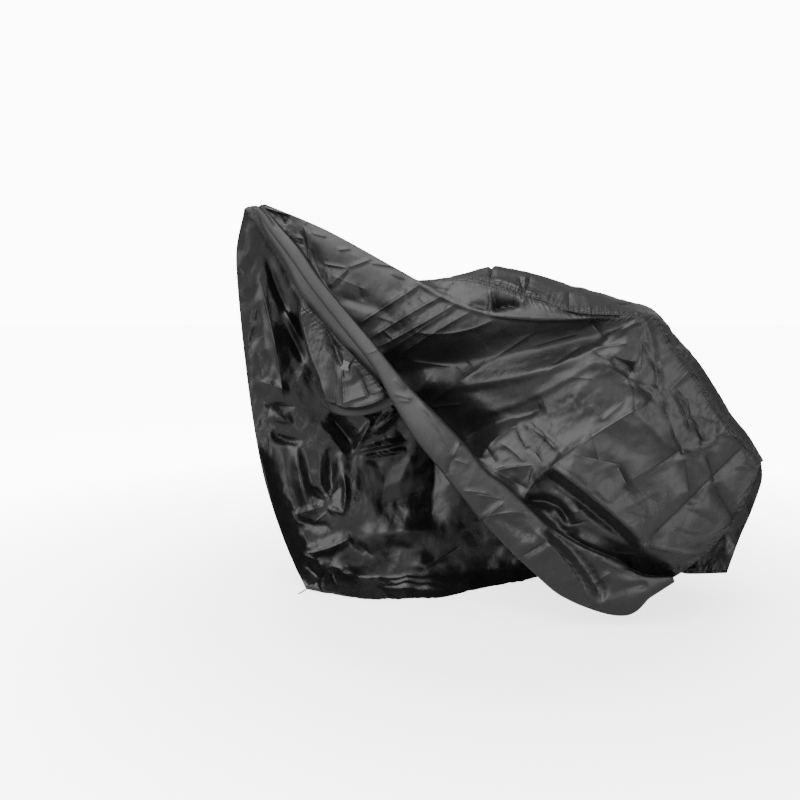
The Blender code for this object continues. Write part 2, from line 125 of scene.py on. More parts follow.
# The roll: the near panel's turned-back edge, from the peak down to the floor. A row is a
# section across it: its middle, half width across and half thickness, then the hidden hem.
ROLL = table(
    "at x z half thick depth hem_x hem_z hem_depth",
    (0, -694, 1196, 11, 9, 190, -706, 1190, 222),
    (1, -654, 1140, 15, 14, 182, -684, 1131, 217),
    (2, -582, 1050, 19, 18, 150, -621, 1029, 192),
    (3, -531, 975, 19, 18, 125, -579, 945, 167),
    (4, -435, 855, 21, 20, 85, -489, 834, 132),
    (5, -337, 735, 23, 22, 30, -372, 711, 82),
    (6, -261, 624, 36, 28, -10, -270, 609, 62),
    (7, -180, 522, 51, 32, -60, -180, 522, 10),
    (8, -111, 444, 54, 34, -90, -111, 444, -20),
    (9, -50, 366, 54, 34, -115, -50, 366, -45),
    (10, 17, 300, 65, 32, -135, 17, 300, -70),
    (11, 138, 183, 68, 30, -165, 138, 183, -105),
    (12, 256, 96, 81, 28, -190, 250, 105, -130),
    (13, 326, 66, 82, 26, -195, 326, 80, -140),
    (14, 406, 42, 74, 22, -195, 406, 55, -145),
    (15, 472, 54, 34, 15, -190, 474, 60, -155),
    (16, 552, 76, 7, 7, -180, 552, 78, -170),
)

# The near panel beyond the roll: a row is a rib from the roll over the ridge to the seam.
NEAR = table(
    "at mid_x mid_z ridge_x ridge_z valley low mid ridge seam_x seam_z seam",
    (0, -683, 1201, -676, 1203, 203, 204, 204, 203, -678, 1200, 216),
    (2, -537, 1098, -510, 1134, 178, 176, 168, 175, -513, 1116, 235),
    (4, -342, 939, -270, 1004, 125, 115, 95, 100, -279, 972, 170),
    (5, -216, 831, -114, 918, 110, 95, 45, 20, -78, 981, 60),
    (6, -102, 759, 21, 867, 100, 70, 10, -50, 6, 963, 0),
    (7, 15, 705, 165, 855, 60, 30, -40, -95, 141, 915, -40),
    (8, 114, 669, 306, 858, -10, -15, -80, -110, 294, 873, -95),
    (9, 228, 630, 474, 864, -80, -85, -120, -115, 483, 866, -112),
    (10, 300, 561, 543, 777, -118, -140, -145, -112, 549, 780, -110),
    (11, 396, 459, 603, 699, -145, -203, -180, -110, 608, 702, -108),
    (12, 495, 381, 669, 597, -150, -221, -182, -100, 674, 600, -98),
    (13, 555, 330, 711, 534, -120, -222, -170, -90, 716, 537, -88),
    (14, 624, 279, 765, 474, -70, -205, -145, -70, 770, 477, -68),
    (16, 711, 225, 812, 426, -40, -160, -95, -35, 815, 428, -33),
)

# The far seam, and how far the gusset crowns outwards between the two seams.
FAR_SEAM = table(
    "at x z depth crown",
    (0, -738, 1188, 262, 6),
    (2, -504, 999, 310, 15),
    (4, -276, 861, 270, 20),
    (5, -84, 927, 210, 40),
    (6, 6, 945, 190, 66),
    (7, 165, 903, 185, 78),
    (8, 270, 866, 170, 78),
    (9, 411, 861, 130, 40),
    (10, 465, 789, 130, 50),
    (11, 522, 714, 130, 60),
    (12, 585, 621, 125, 60),
    (13, 630, 555, 120, 55),
    (14, 696, 504, 100, 45),
    (16, 814, 430, 50, 8),
)

# The gusset's front end hangs from the peak below the roll: its far edge, how far it bellies
# forward and how far it sags.
DROOP = table(
    "at x z depth belly sag",
    (0, -738, 1188, 262, 0, 0),
    (1, -687, 1119, 250, 3, 0),
    (2, -618, 1011, 235, 5, 0),
    (3, -561, 909, 225, 10, 0),
    (4, -543, 801, 220, 25, 4),
    (5, -525, 705, 215, 40, 15),
    (6, -507, 603, 210, 45, 34),
)

# The far panel: a row is a rib from the far seam down to the hem on the floor.
FAR = table(
    "at shoulder_x shoulder_z shoulder waist_x waist_z waist knee_x knee_z knee "
    "foot_x foot_z foot hem_x hem_z hem",
    (0, -762, 1029, 280, -732, 705, 285, -684, 405, 240, -600, 150, 170, -552, 48, 119),
    (1, -654, 945, 295, -615, 645, 312, -570, 315, 290, -516, 120, 230, -465, 30, 70),
    (2, -495, 795, 330, -480, 555, 330, -435, 255, 255, -396, 84, 232, -345, 15, 25),
    (4, -285, 675, 330, -276, 465, 340, -255, 225, 255, -225, 80, 222, -180, 18, 35),
    (6, -30, 735, 290, -30, 495, 330, -15, 255, 320, 0, 100, 280, 15, 57, 160),
    (8, 240, 675, 260, 246, 465, 300, 264, 270, 300, 276, 165, 290, 285, 105, 270),
    (10, 450, 615, 200, 450, 435, 240, 456, 270, 240, 465, 180, 220, 474, 120, 190),
    (13, 606, 435, 150, 600, 315, 175, 600, 195, 175, 600, 135, 165, 600, 93, 150),
    (16, 816, 375, 70, 786, 285, 90, 753, 210, 100, 729, 147, 106, 711, 96, 110),
)

# Folds raise or sink the cloth along a drawn line. `above` and `below` are how far each side of
# the fold reaches, `bow` is how far its middle arches up from the straight line, `soft` is 1 for
# a rounded top and 0 for a sharp one, and `spread` is how much wider and higher than its middle
# it is at its second end. All but the height are at a third of full size.
FOLD = "x0 z0 x1 z1 height above below bow soft spread"

NEAR_MAIN = table(
    FOLD,
    # troughs and hollows
    (-110, 232, 134, 279, -54, 38, 27, -5, 0.9),  # below the ridge
    (-112, 248, -72, 195, -56, 30, 14, 0, 0.5),  # beside the roll, upper
    (-80, 205, -11, 147, -96, 50, 16, 0, 0.5),  # beside the roll, lower
    (-25, 168, 56, 196, -24, 24, 10, 3, 0.5),
    (-204, 392, -166, 316, -9, 14, 12, 4, 0.5),  # below the peak
    (-152, 308, -100, 292, -9, 14, 8, 0, 0.7),
    # crests
    (-186, 374, -88, 312, 9, 26, 26, 6, 0.7),
    (-34, 222, 158, 292, 8, 9, 8, -18, 0.5, -0.4),  # broad lit band up to the rack's corner
    (-10, 190, 104, 243, 6, 9, 6, -6, 0.3),
    (44, 124, 164, 205, 20, 22, 34, 4, 0.1),  # long packing crease
    (32, 104, 60, 140, 12, 12, 4, 2, 0.1),
    # the large bulge and the arches below it
    (60, 141, 156, 62, 34, 62, 11, 2, 0.5),
    (53, 132, 149, 53, -58, 12, 46, 2, 0.25),
    (30, 101, 82, 78, -44, 9, 26, 14, 0.25),
    (100, 176, 216, 116, -16, 40, 40, 0, 1),
    (42, 95, 66, 84, 14, 7, 7, 5, 0.3),
    (64, 99, 79, 76, 18, 9, 6, -2, 0.25),
    (84, 70, 160, 36, 30, 12, 9, -2, 0.6),
    (148, 61, 216, 46, 18, 26, 12, 0, 0.1),
    (200, 40, 250, 90, -10, 10, 10, -4, 0.5),
    # broad facets of the right-hand part
    (193, 153, 200, 100, 17, 16, 20, 0, 0.1),
    (216, 153, 225, 122, -10, 12, 6, 0, 0.2),
    (222, 123, 246, 83, -18, 14, 14, 0, 0.1),
    (153, 60, 256, 161, -18, 22, 26),
    (134, 119, 192, 156, -17, 26, 26, -1),
    (128, 138, 137, 120, 8, 6, 8),
    (155, 290, 168, 212, -9, 5, 5, 3, 0.3),  # below the rack's corner
    (136, 226, 158, 202, 17, 9, 12, 0, 0.1, 0.3),
    (96, 240, 137, 226, 9, 5, 14, 5, 0.1),
    # pocket between the ridge and the seam
    (-76, 325, -2, 291, 9, 6, 5, -4, 0.6),
    (-6, 291, 124, 289, 9, 6, 4, -4, 0.6),
    (0, 293, 0, 313, 12, 4, 5),
    (2, 296, 30, 299, -46, 15, 4, 0, 0, -0.3),
    (-22, 300, -1, 295, -16, 9, 3, 0, 0, 0.4),
    (30, 296, 36, 310, 8, 4, 6),
)

NEAR_CREASES = table(
    FOLD,
    # pleats that leave the roll
    (-134, 279, -66, 323, 9, 14, 4, 0, 0, 0.2),
    (-122, 265, -46, 310, 11, 9, 4, 1, 0, 0.2),
    (-115, 256, -33, 302, 10, 6, 4, -1, 0, 0.2),
    (-108, 249, -34, 297, 5, 4, 4, 1, 0, 0.2),
    (-102, 241, -18, 294, 10, 7, 5, 2, 0, 0.3),
    (-76, 273, 5, 286, 6, 4, 7, -7, 0.1),
    (-112, 288, -96, 283, 3, 4, 3),
    (-106, 274, -97, 266, 4, 3, 3),
    (-82, 318, -80, 300, 4, 5, 5, -2),
    (-70, 316, -66, 302, 4, 5, 5, -2),
    (-92, 312, -76, 320, -3, 4, 4, 0, 0.2),
    (-44, 312, -36, 322, -5, 4, 3, 0, 0.1),
    (-62, 318, -40, 314, 4, 4, 3),
    # upper panel
    (-64, 199, 46, 274, 4, 4, 3, 1),
    (-82, 244, -34, 238, 3.5, 4, 12, 0, 0.1),
    (-34, 239, -24, 224, 3.5, 5, 8),
    (-24, 243, -14, 234, -4, 4, 4),
    (-60, 198, -28, 201, 5, 3, 3),
    (-44, 214, 30, 204, -2, 12, 8, 3, 0.8),
    (10, 192, 60, 200, -3, 7, 7, -3, 0.4),
    (40, 258, 90, 272, 2.5, 7, 6, 0, 0.1),
    (55, 232, 85, 250, 2.5, 5, 5, 0, 0.1),
    (62, 240, 90, 258, -2.5, 5, 5, 0, 0.1),
    (100, 283, 117, 266, -8, 6, 5, 0, 0.1),
    (114, 267, 150, 284, 8, 6, 5),
    # below the rack's corner
    (105, 257, 140, 262, 4, 4, 5),
    (103, 254, 128, 238, -6, 7, 6, 0, 0.1),
    (117, 250, 146, 243, 6, 4, 6),
    (146, 243, 136, 227, -7, 5, 7, 0, 0.1),
    (122, 248, 148, 230, -9, 6, 5, 2, 0.2),
    (152, 287, 148, 228, 6, 4, 4, 2),
    (152, 264, 170, 210, -8, 7, 5, 4, 0.1, 0.2),
    (160, 240, 176, 206, 6, 6, 4, 0, 0, 0.2),
    (141, 222, 146, 194, -5, 5, 5, 0, 0.1),
    (140, 224, 178, 212, 5, 4, 5),
    (178, 212, 206, 240, 7, 7, 6),
    (143, 193, 160, 203, -4, 5, 5, 0, 0.1),
    (80, 228, 105, 226, 3, 4, 4),
    (80, 210, 92, 192, -4, 6, 5, 0, 0.2),
    (100, 200, 112, 184, 4, 6, 6, 0, 0.1),
    (112, 184, 135, 204, 4, 6, 5),
    # right-hand part
    (183, 214, 200, 174, 12, 7, 5, 3),
    (172, 205, 184, 158, -8, 6, 6, 2, 0.1),
    (176, 196, 196, 150, 5, 6, 5, -2),
    (200, 187, 214, 165, 10, 5, 6),
    (200, 188, 228, 184, 3, 4, 4),
    (206, 176, 212, 160, -7, 5, 4, 0, 0.1),
    (190, 153, 212, 157, 8, 5, 5, -3, 0.1),
    (212, 156, 228, 170, 7, 6, 4, -2),
    (228, 171, 227, 186, 5, 5, 5),
    (228, 171, 254, 164, 5, 4, 5, 2),
    (244, 137, 266, 136, 5, 4, 3),
    (256, 162, 258, 137, 4, 3, 4),
    (182, 77, 212, 71, 3, 4, 4),
    (196, 98, 230, 80, -4, 8, 8, 0, 0.2),
    (120, 102, 134, 118, 4, 6, 6),
    (104, 112, 116, 100, -7, 4, 4, 0, 0.3),
    (78, 152, 132, 140, 3, 9, 9, 0, 0.1),
    (100, 176, 110, 140, -3, 9, 9, 0, 0.2),
    (150, 190, 178, 158, 4, 8, 8, 0, 0.1),
    # crumpled cloth above the arches
    (-8, 156, 26, 180, 7, 4, 7),
    (24, 181, 37, 156, 7, 5, 4),
    (32, 181, 72, 151, 6, 4, 5, 3),
    (42, 184, 66, 154, 6, 5, 4),
    (36, 158, 52, 142, -5, 5, 5, 2, 0.1),
    (10, 162, 34, 142, 5, 5, 5, 2),
    (-4, 158, 6, 142, -4, 5, 5),
    (26, 186, 46, 192, -5, 4, 4, 0, 0.2),
    (4, 134, 44, 140, 7, 5, 9, 1),
    (4, 134, 38, 116, -6, 6, 4, 0, 0.1),
    (44, 140, 38, 117, 6, 4, 6),
    (66, 139, 100, 116, -4, 5, 6, 2, 0.1),
    (84, 92, 98, 98, 5, 4, 6),
    (82, 80, 97, 84, -5, 5, 5, 0, 0.1),
    (122, 56, 128, 46, 5, 3, 4),
    (126, 52, 150, 50, 5, 3, 4),
    (140, 44, 156, 40, 6, 4, 3),
    (170, 40, 190, 30, 6, 4, 4),
    (192, 42, 186, 28, 5, 4, 4),
    # below the peak
    (-212, 392, -203, 381, -7, 5, 5, 0, 0.2),
    (-203, 382, -198, 394, -5, 4, 4, 0, 0.2),
    (-228, 398, -200, 390, 4, 4, 4),
    (-206, 376, -196, 366, 5, 4, 3),
    (-202, 370, -186, 366, 5, 3, 4),
    (-200, 364, -186, 360, -4, 3, 3),
    (-186, 379, -182, 342, 6, 5, 4, 2),
    (-166, 341, -142, 337, 5, 4, 3),
    (-143, 337, -118, 346, 6, 4, 4),
    (-142, 336, -162, 318, 7, 5, 4),
    (-140, 334, -150, 321, -4, 3, 3),
    (-152, 355, -140, 356, 4, 4, 3),
    (-178, 372, -164, 368, 4, 3, 3),
    (-120, 342, -92, 338, 4, 5, 4),
    (-100, 332, -86, 326, 4, 3, 3),
    (-160, 330, -120, 314, 3, 9, 9, 0, 0.2),
    (-132, 322, -128, 304, -3, 6, 6, 0, 0.2),
)

# The roll's own creases, and the folds of the flap that it opens into.
ROLL_FOLDS = table(
    FOLD,
    (-244, 396, -239, 370, 4, 3, 3),
    (-240, 399, -230, 368, -6, 3, 3),
    (-236, 399, -224, 370, 5, 3, 3),
    (-233, 399, -214, 376, -5, 3, 3, 2),
    (-124, 251, -112, 255, 2, 3, 3),
    (-96, 226, -84, 216, 4, 4, 4),
    (-96, 211, -78, 206, 5, 4, 4),
    (-92, 205, -80, 203, 4, 3, 3),
    (-72, 202, -38, 146, 7, 12, 5, 3, 0.1),
    (-38, 146, -43, 130, -6, 5, 5),
    (-37, 146, -20, 140, 5, 4, 6),
    (-38, 147, -30, 162, 6, 5, 5),
    (-28, 114, 2, 110, 6, 4, 4, 1),
    (-14, 110, 14, 106, 5, 3, 4),
    (-9, 84, 16, 104, 8, 6, 6),
    (-8, 86, 36, 92, 8, 5, 6, 3),
    (44, 74, 101, -2, 22, 12, 34, 7),  # ridge down the flap
    (55, 76, 115, 4, -38, 30, 12, 7, 0.25),
    (32, 48, 57, 64, -12, 9, 7),
    (2, 92, 60, 60, -12, 6, 10, 0, 0.3),
    (4, 78, 18, 62, 3, 5, 5),
    (54, 62, 84, 33, 5, 5, 5, 2),
    (68, 68, 82, 76, 5, 4, 4),
    (102, 19, 122, 33, 6, 5, 5, 1),
    (118, 8, 158, 20, -8, 7, 6, 3, 0.3),
    (112, 45, 158, 33, 7, 6, 5, -4, 0.2),
    (100, 30, 150, 22, 5, 9, 7, 0, 0.3),
)

TOP_MAIN = table(
    FOLD,
    # tucks across the strip over the saddle
    (1, 341, 1, 327, -10, 5, 3, 0, 0.2),
    (30, 329, 34, 308, -11, 4, 3, 0, 0.1),
    (41, 329, 34, 308, -9, 3, 4, 0, 0.1),
    (35, 330, 34, 308, 6, 3, 3),
    (79, 312, 80, 293, -5, 4, 4, 0, 0.2),
    (4, 326, 60, 300, 6, 7, 5, 3, 0.2),
    (50, 310, 100, 316, 5, 8, 8, 0, 0.1),
    (128, 300, 140, 302, -5, 4, 4, 0, 0.2),
    # the drooping end
    (-228, 360, -184, 306, 7, 5, 5, -3, 0.1),
    (-186, 304, -154, 206, 24, 9, 13, -4, 0.1),
    (-170, 296, -144, 226, -26, 10, 9, -2, 0.5),
    (-166, 212, -100, 210, 26, 30, 6, -12, 0.2),
    (-158, 244, -151, 198, -10, 6, 6, 0, 0.1),
    (-150, 240, -140, 196, 10, 7, 6, 0, 0.1),
    (-134, 238, -118, 208, -9, 7, 6, 0, 0.1),
    (-142, 204, -110, 214, 8, 6, 5),
    (-128, 250, -104, 212, 8, 6, 6, 0, 0.1),
    (-160, 262, -140, 250, -7, 7, 7, 0, 0.2),
)

FAR_MAIN = table(
    FOLD,
    # hanging folds behind the opening
    (-224, 352, -200, 288, -22, 12, 8, -2, 0.3, 0.4),
    (-232, 330, -206, 200, 16, 14, 9, 3, 0.2, 0.3),
    (-206, 296, -188, 262, 14, 8, 6, 0, 0.1),
    (-204, 280, -184, 240, -18, 9, 8, 0, 0.3),
    (-230, 224, -200, 214, 14, 7, 8, 0, 0.1),
    (-226, 200, -194, 198, -14, 5, 6, 0, 0.2),
    (-222, 190, -196, 182, 20, 11, 7, 0, 0.3),
    (-218, 172, -188, 164, -22, 6, 8, -3, 0.3),
    (-194, 164, -180, 92, 28, 12, 14, -3, 0.5),
    (-160, 160, -158, 96, -32, 14, 13, 0, 0.6),
    (-179, 119, -165, 105, -22, 6, 6, 0, 0.2),
    (-232, 160, -210, 70, 12, 10, 12, 0, 0.3),
    # gathered cloth above the floor
    (-196, 90, -166, 99, 18, 6, 12, 0, 0.1),
    (-168, 98, -150, 118, 16, 6, 9, 0, 0.1),
    (-162, 96, -146, 91, 14, 5, 4, 0, 0.1),
    (-146, 130, -147, 90, 22, 6, 5, 2, 0.1),
    (-196, 86, -158, 80, -14, 7, 8, -3, 0.3),
    (-178, 80, -164, 92, 8, 5, 5),
    (-187, 51, -138, 68, 22, 12, 7, -3, 0.2),
    (-170, 27, -150, 60, -9, 7, 6, 0, 0.1),
    (-142, 68, -116, 48, -10, 8, 8, 0, 0.2),
    (-186, 40, -170, 26, 8, 5, 5),
    # folds that meet behind the pouch
    (-162, 192, -134, 156, -40, 16, 14, 0, 0.6),
    (-137, 151, -117, 186, 20, 6, 6, 0, 0.1, 0.4),
    (-118, 172, -88, 198, 30, 10, 9, 0, 0.4),
    (-136, 152, -82, 164, 20, 6, 4, 1, 0.1, 0.3),
    (-130, 147, -84, 156, 18, 4, 4, 0, 0.1, 0.2),
    (-126, 190, -104, 204, -26, 8, 7, 0, 0.4),
    # the low soft part and the roll of cloth along the floor
    (-132, 65, -44, 75, 16, 16, 22, 4, 0.4),
    (-112, 96, -60, 120, -18, 18, 18, 0, 0.6),
    (-64, 36, -28, 60, -6, 9, 14, 0, 0.2),
    (-95, 38, -40, 46, 3, 9, 9, -2, 0.3),
    (-104, 60, -60, 52, -3, 8, 8, 0, 0.3),
    (-120, 22, -33, 21, 18, 2.2, 2.2, 1, 0.25),
    (-118, 17, -34, 16, 18, 2.2, 2.2, 0, 0.25),
    (-36, 15, -6, 29, 12, 6, 4, 0, 0.1),
    (-178, 18, -143, 38, 15, 8, 8, 0, 0.1),
    (-164, 34, -150, 18, -8, 6, 6, 0, 0.1),
    (-144, 38, -116, 18, -10, 7, 7, 0, 0.1),
    (-120, 20, -100, 6, 9, 6, 6, 0, 0.1),
    # upright folds, seen from behind
    (-60, 300, -66, 40, -34, 22, 20, 9, 0.6, 0.5),
    (-10, 315, 16, 60, 26, 20, 16, -7, 0.3, 0.6),
    (42, 312, 44, 50, -28, 20, 22, 5, 0.6, 0.4),
    (84, 300, 66, 60, 24, 16, 20, -4, 0.3, 0.6),
    (118, 296, 122, 55, -26, 18, 18, 5, 0.5, 0.5),
    (150, 262, 176, 52, 20, 14, 18, 4, 0.3, 0.5),
    (208, 214, 192, 45, -18, 16, 16, 0, 0.5, 0.4),
    (232, 180, 236, 40, 14, 10, 12, 0, 0.3, 0.3),
)


# ---- drawing and curves
def placed(x, z, depth):
    """The points behind spots of the elevation, for millimetre arrays."""
    x, z, depth = np.broadcast_arrays(x, z, depth)
    across = (x * MM - ELEVATION_EYE[0]) / ELEVATION_AT
    up = (z * MM - ELEVATION_EYE[1]) / ELEVATION_AT
    reach = depth * MM - EYE[1]
    c, s = cos(LOOK_DOWN), sin(LOOK_DOWN)
    rise = reach * (up * c - s) / (c + up * s)
    ahead = reach * c - rise * s
    height = np.maximum(EYE[2] + rise, LOWEST)
    return np.stack([EYE[0] + across * ahead - ORIGIN[0], reach + EYE[1] - ORIGIN[1], height], -1)


def drawn(points):
    """Where points show on the fold drawing."""
    x, y, z = np.moveaxis(points + (ORIGIN[0] - EYE[0], ORIGIN[1] - EYE[1], -EYE[2]), -1, 0)
    ahead = y * cos(LOOK_DOWN) - z * sin(LOOK_DOWN)
    up = y * sin(LOOK_DOWN) + z * cos(LOOK_DOWN)
    return (ELEVATION_EYE[0] + ELEVATION_AT * x / ahead) / MM / DRAWING, (
        ELEVATION_EYE[1] + ELEVATION_AT * up / ahead) / MM / DRAWING


def towards_eye(points):
    """Unit vectors from points to the eye."""
    way = np.array([EYE[0] - ORIGIN[0], EYE[1] - ORIGIN[1], EYE[2]]) - points
    return way / np.linalg.norm(way, axis=-1, keepdims=True)


def outwards(grid):
    """Unit normals of a grid of points."""
    normal = np.cross(np.gradient(grid, axis=0), np.gradient(grid, axis=1))
    return normal / np.maximum(np.linalg.norm(normal, axis=-1, keepdims=True), 1e-12)


def flow(knots, values, at):
    """A smooth curve through the values that never swings past them."""
    knots, values, at = np.asarray(knots, float), np.asarray(values, float), np.asarray(at, float)
    step = np.diff(knots)
    rise = np.diff(values, axis=0) / step.reshape(-1, *[1] * (values.ndim - 1))
    slope = np.zeros_like(values)
    same_way = rise[1:] * rise[:-1] > 0
    with np.errstate(divide="ignore", invalid="ignore"):
        mean = 2 * rise[1:] * rise[:-1] / (rise[1:] + rise[:-1])
    slope[1:-1] = np.where(same_way, mean, 0)
    slope[0], slope[-1] = rise[0], rise[-1]
    i = np.clip(np.searchsorted(knots, at, side="right") - 1, 0, len(step) - 1)
    shape = (-1,) + (1,) * (values.ndim - 1)
    h = step[i].reshape(shape)
    t = ((at - knots[i]) / step[i]).reshape(shape)
    return (
        values[i] * (1 + 2 * t) * (1 - t) ** 2
        + slope[i] * h * t * (1 - t) ** 2
        + values[i + 1] * t * t * (3 - 2 * t)
        + slope[i + 1] * h * t * t * (t - 1)
    )


def read(rows, at, names):
    """The named columns of a table at stations in between its rows."""
    return [flow(rows["at"], rows[name], at) for name in names.split()]


def columns(rows, at, names):
    """The same, upright, so that they spread across a grid's columns."""
    return [numbers[:, None] for numbers in read(rows, at, names)]


def along(points, count):
    """`count` places spread evenly along curves given by rows of knots (rib, knot, xyz)."""
    knots = np.arange(points.shape[1])
    fine = np.linspace(0, knots[-1], 24 * len(knots))
    ribs = []
    for rib in points:
        curve = flow(knots, rib, fine)
        length = np.concatenate([[0], np.cumsum(np.linalg.norm(np.diff(curve, axis=0), axis=1))])
        wanted = np.linspace(0, 1, count) * length[-1]
        ribs.append(np.stack([np.interp(wanted, length, curve[:, k]) for k in range(3)], -1))
    return np.array(ribs)


def step_up(value):
    """A smooth step from 0 to 1."""
    value = np.clip(value, 0, 1)
    return value * value * (3 - 2 * value)


def between(start, end, share):
    """The numbers on the way from start to end."""
    return start * (1 - share) + end * share


def within(x, z, mx, mz, wide, high):
    """From 1 in the middle of a drawn oval down to 0 on its outline."""
    return 1 - np.hypot((x - mx) / wide, (z - mz) / high)


# ---- folds and crumples
def beside_line(x, z, x0, z0, x1, z1, bow):
    """A drawn line's length, and where each spot is along it, as a share too, and beside it."""
    length = np.hypot(x1 - x0, z1 - z0)
    run_x, run_z = (x1 - x0) / length, (z1 - z0) / length
    along_it = (x - x0) * run_x + (z - z0) * run_z
    share = np.clip(along_it / length, 0, 1)
    beside = (z - z0) * run_x - (x - x0) * run_z - bow * 4 * share * (1 - share)
    return length, along_it, share, beside


def run_out(along_it, length, taper):
    """From 0 at a line's ends up to 1, over the taper as a share of its length."""
    return np.clip(np.minimum(along_it, length - along_it) / (taper * length), 0, 1)


def fold_heights(x, z, folds, taper=FOLD_TAPER):
    """How far drawn folds move each drawn spot, in millimetres."""
    total = np.zeros_like(x)
    for x0, z0, x1, z1, height, above, below, bow, soft, spread in zip(*folds.values()):
        length, along_it, share, beside = beside_line(x, z, x0, z0, x1, z1, bow)
        wider = 1 + spread * (2 * share - 1)
        reach = np.clip(np.abs(beside) / (wider * np.where(beside > 0, above, below)), 0, 1)
        ends = run_out(along_it, length, taper)
        total += height * wider * (1 - reach) ** 2 * (1 + 2 * soft * reach) * ends * (2 - ends)
    return total


def sharp_lines(x, z, tables):
    """Maps of the sharp folds' lines, so that the finish can crease them finer than the mesh.

    Each map gives the signed distance from a line, in metres, and how strong the line is there,
    and lines that come close to each other are on different maps.
    """
    maps = [[np.zeros_like(x), np.zeros_like(x), np.zeros(x.shape, bool)] for _ in range(LINE_MAPS)]
    for folds, where in tables:
        for x0, z0, x1, z1, height, _, _, bow, soft, _ in zip(*folds.values()):
            if soft > LINE_SOFTEST:
                continue
            length, along_it, _, beside = beside_line(x, z, x0, z0, x1, z1, bow)
            taken = np.abs(beside) < 2 * LINE_REACH
            taken &= np.abs(along_it - length / 2) < length / 2 + LINE_ENDS
            taken &= where > 0
            ends = run_out(along_it, length, LINE_TAPER)
            strong = np.clip(1.5 * (1 - np.abs(beside) / LINE_REACH), 0, 1) * ends * where
            strong = strong * np.clip(abs(height) / FULL_LINE, FAINTEST, 1) * np.sign(height)
            free = next((m for m in maps if not (m[2] & taken).any()), None)
            if free is not None:
                free[0][taken] = beside[taken] * DRAWING * MM
                free[1][taken] = strong[taken]
                free[2] |= taken
    return {f"lines_{k}": (m[0], m[1]) for k, m in enumerate(maps)}


def scatter(i, j, seed):
    """Repeatable random numbers from 0 to 1 for whole-number places, two for each."""
    mixed = np.sin(i * 127.1 + j * 311.7 + seed * 74.7) * 43758.5453
    other = np.sin(i * 269.5 + j * 183.3 + seed * 41.3) * 28001.8384
    return mixed - np.floor(mixed), other - np.floor(other)


def ripple(x, z, seed):
    """Smooth noise from about -0.7 to 0.7 over unit squares."""
    i, j = np.floor(x), np.floor(z)
    fx, fz = x - i, z - j

    def corner(di, dj):
        turn = scatter(i + di, j + dj, seed)[0] * 2 * pi
        return np.cos(turn) * (fx - di) + np.sin(turn) * (fz - dj)

    u, v = fx**3 * (fx * (fx * 6 - 15) + 10), fz**3 * (fz * (fz * 6 - 15) + 10)
    low = corner(0, 0) * (1 - u) + corner(1, 0) * u
    high = corner(0, 1) * (1 - u) + corner(1, 1) * u
    return low * (1 - v) + high * v


def nearest(x, z, seed):
    """Squared distance to the nearest of scattered spots, one to a unit square."""
    i, j = np.floor(x), np.floor(z)
    least = np.full_like(x, 9.0)
    for di in (-1, 0, 1):
        for dj in (-1, 0, 1):
            px, pz = scatter(i + di, j + dj, seed)
            least = np.minimum(least, (x - i - di - px) ** 2 + (z - j - dj - pz) ** 2)
    return least


def facets(x, z, seed):
    """Flat facets about a unit across that meet in straight creases, from about -0.5 to 0.5."""
    return nearest(x, z, seed) - nearest(x, z, seed + 5)


def crumple(x, z, size, turn, stretch, seed):
    """Creased facets, `size` across and drawn out along `turn` degrees."""
    c, s = cos(radians(turn)), sin(radians(turn))
    u, v = (x * c + z * s) / (size * stretch), (z * c - x * s) / size
    u, v = (u + 0.3 * ripple(u * 0.6, v * 0.6, seed + 1),
            v + 0.3 * ripple(u * 0.6, v * 0.6, seed + 2))
    patchy = 0.6 + 0.9 * ripple(u * 0.4, v * 0.4, seed + 4)
    return facets(u, v, seed) + 0.35 * patchy * facets(u * 2.3, v * 2.3, seed + 3)


# Where the cloth is crumpled: middle and half width and height on the drawing, how high in
# millimetres, the size of a facet, the way it is drawn out and how much longer that makes it.
CRUMPLE = "x z wide high height size turn stretch"
NEAR_CRUMPLE = table(
    CRUMPLE,
    (100, 180, 420, 320, 9.0, 30, 35, 1.7),
    (100, 180, 420, 320, 1.6, 13, 30, 1.6),
    (25, 155, 75, 42, 5.0, 12, 35, 1.5),
    (90, 190, 60, 36, 3.0, 13, 35, 1.6),
    (145, 225, 45, 45, 6.0, 14, 60, 1.4),
    (210, 180, 44, 50, 5.0, 16, 50, 1.3),
    (-198, 370, 30, 40, 4.5, 9, -60, 1.8),
    (-80, 300, 55, 34, 3.5, 13, 60, 1.6),
    (-140, 330, 60, 40, 2.5, 20, -20, 1.5),
    (70, 95, 55, 40, 5.0, 13, -40, 1.4),
    (165, 40, 60, 18, 5.0, 12, 10, 1.6),
    (50, 50, 90, 70, 4.0, 20, -45, 1.8),
)
FAR_CRUMPLE = table(
    CRUMPLE,
    (-20, 180, 560, 420, 8.0, 34, 80, 1.9),
    (-20, 180, 560, 420, 5.0, 14, 70, 1.5),
    (-165, 70, 60, 80, 6.0, 17, 20, 1.4),
    (-115, 170, 70, 50, 8.0, 15, 20, 1.6),
    (-210, 250, 50, 110, 7.0, 14, 80, 2.0),
    (-60, 15, 260, 20, 2.5, 10, 3, 2.2),
    (130, 60, 200, 60, 4.0, 20, 20, 1.6),
)
TOP_CRUMPLE = table(
    CRUMPLE,
    (-190, 300, 70, 130, 3.0, 15, -60, 1.8),
    (-130, 226, 34, 30, 6.0, 13, 30, 1.3),
    (60, 300, 330, 110, 4.0, 20, 10, 1.4),
    (60, 300, 330, 110, 1.5, 9, 20, 1.4),
    (215, 225, 50, 90, 2.5, 9, 55, 1.4),
)


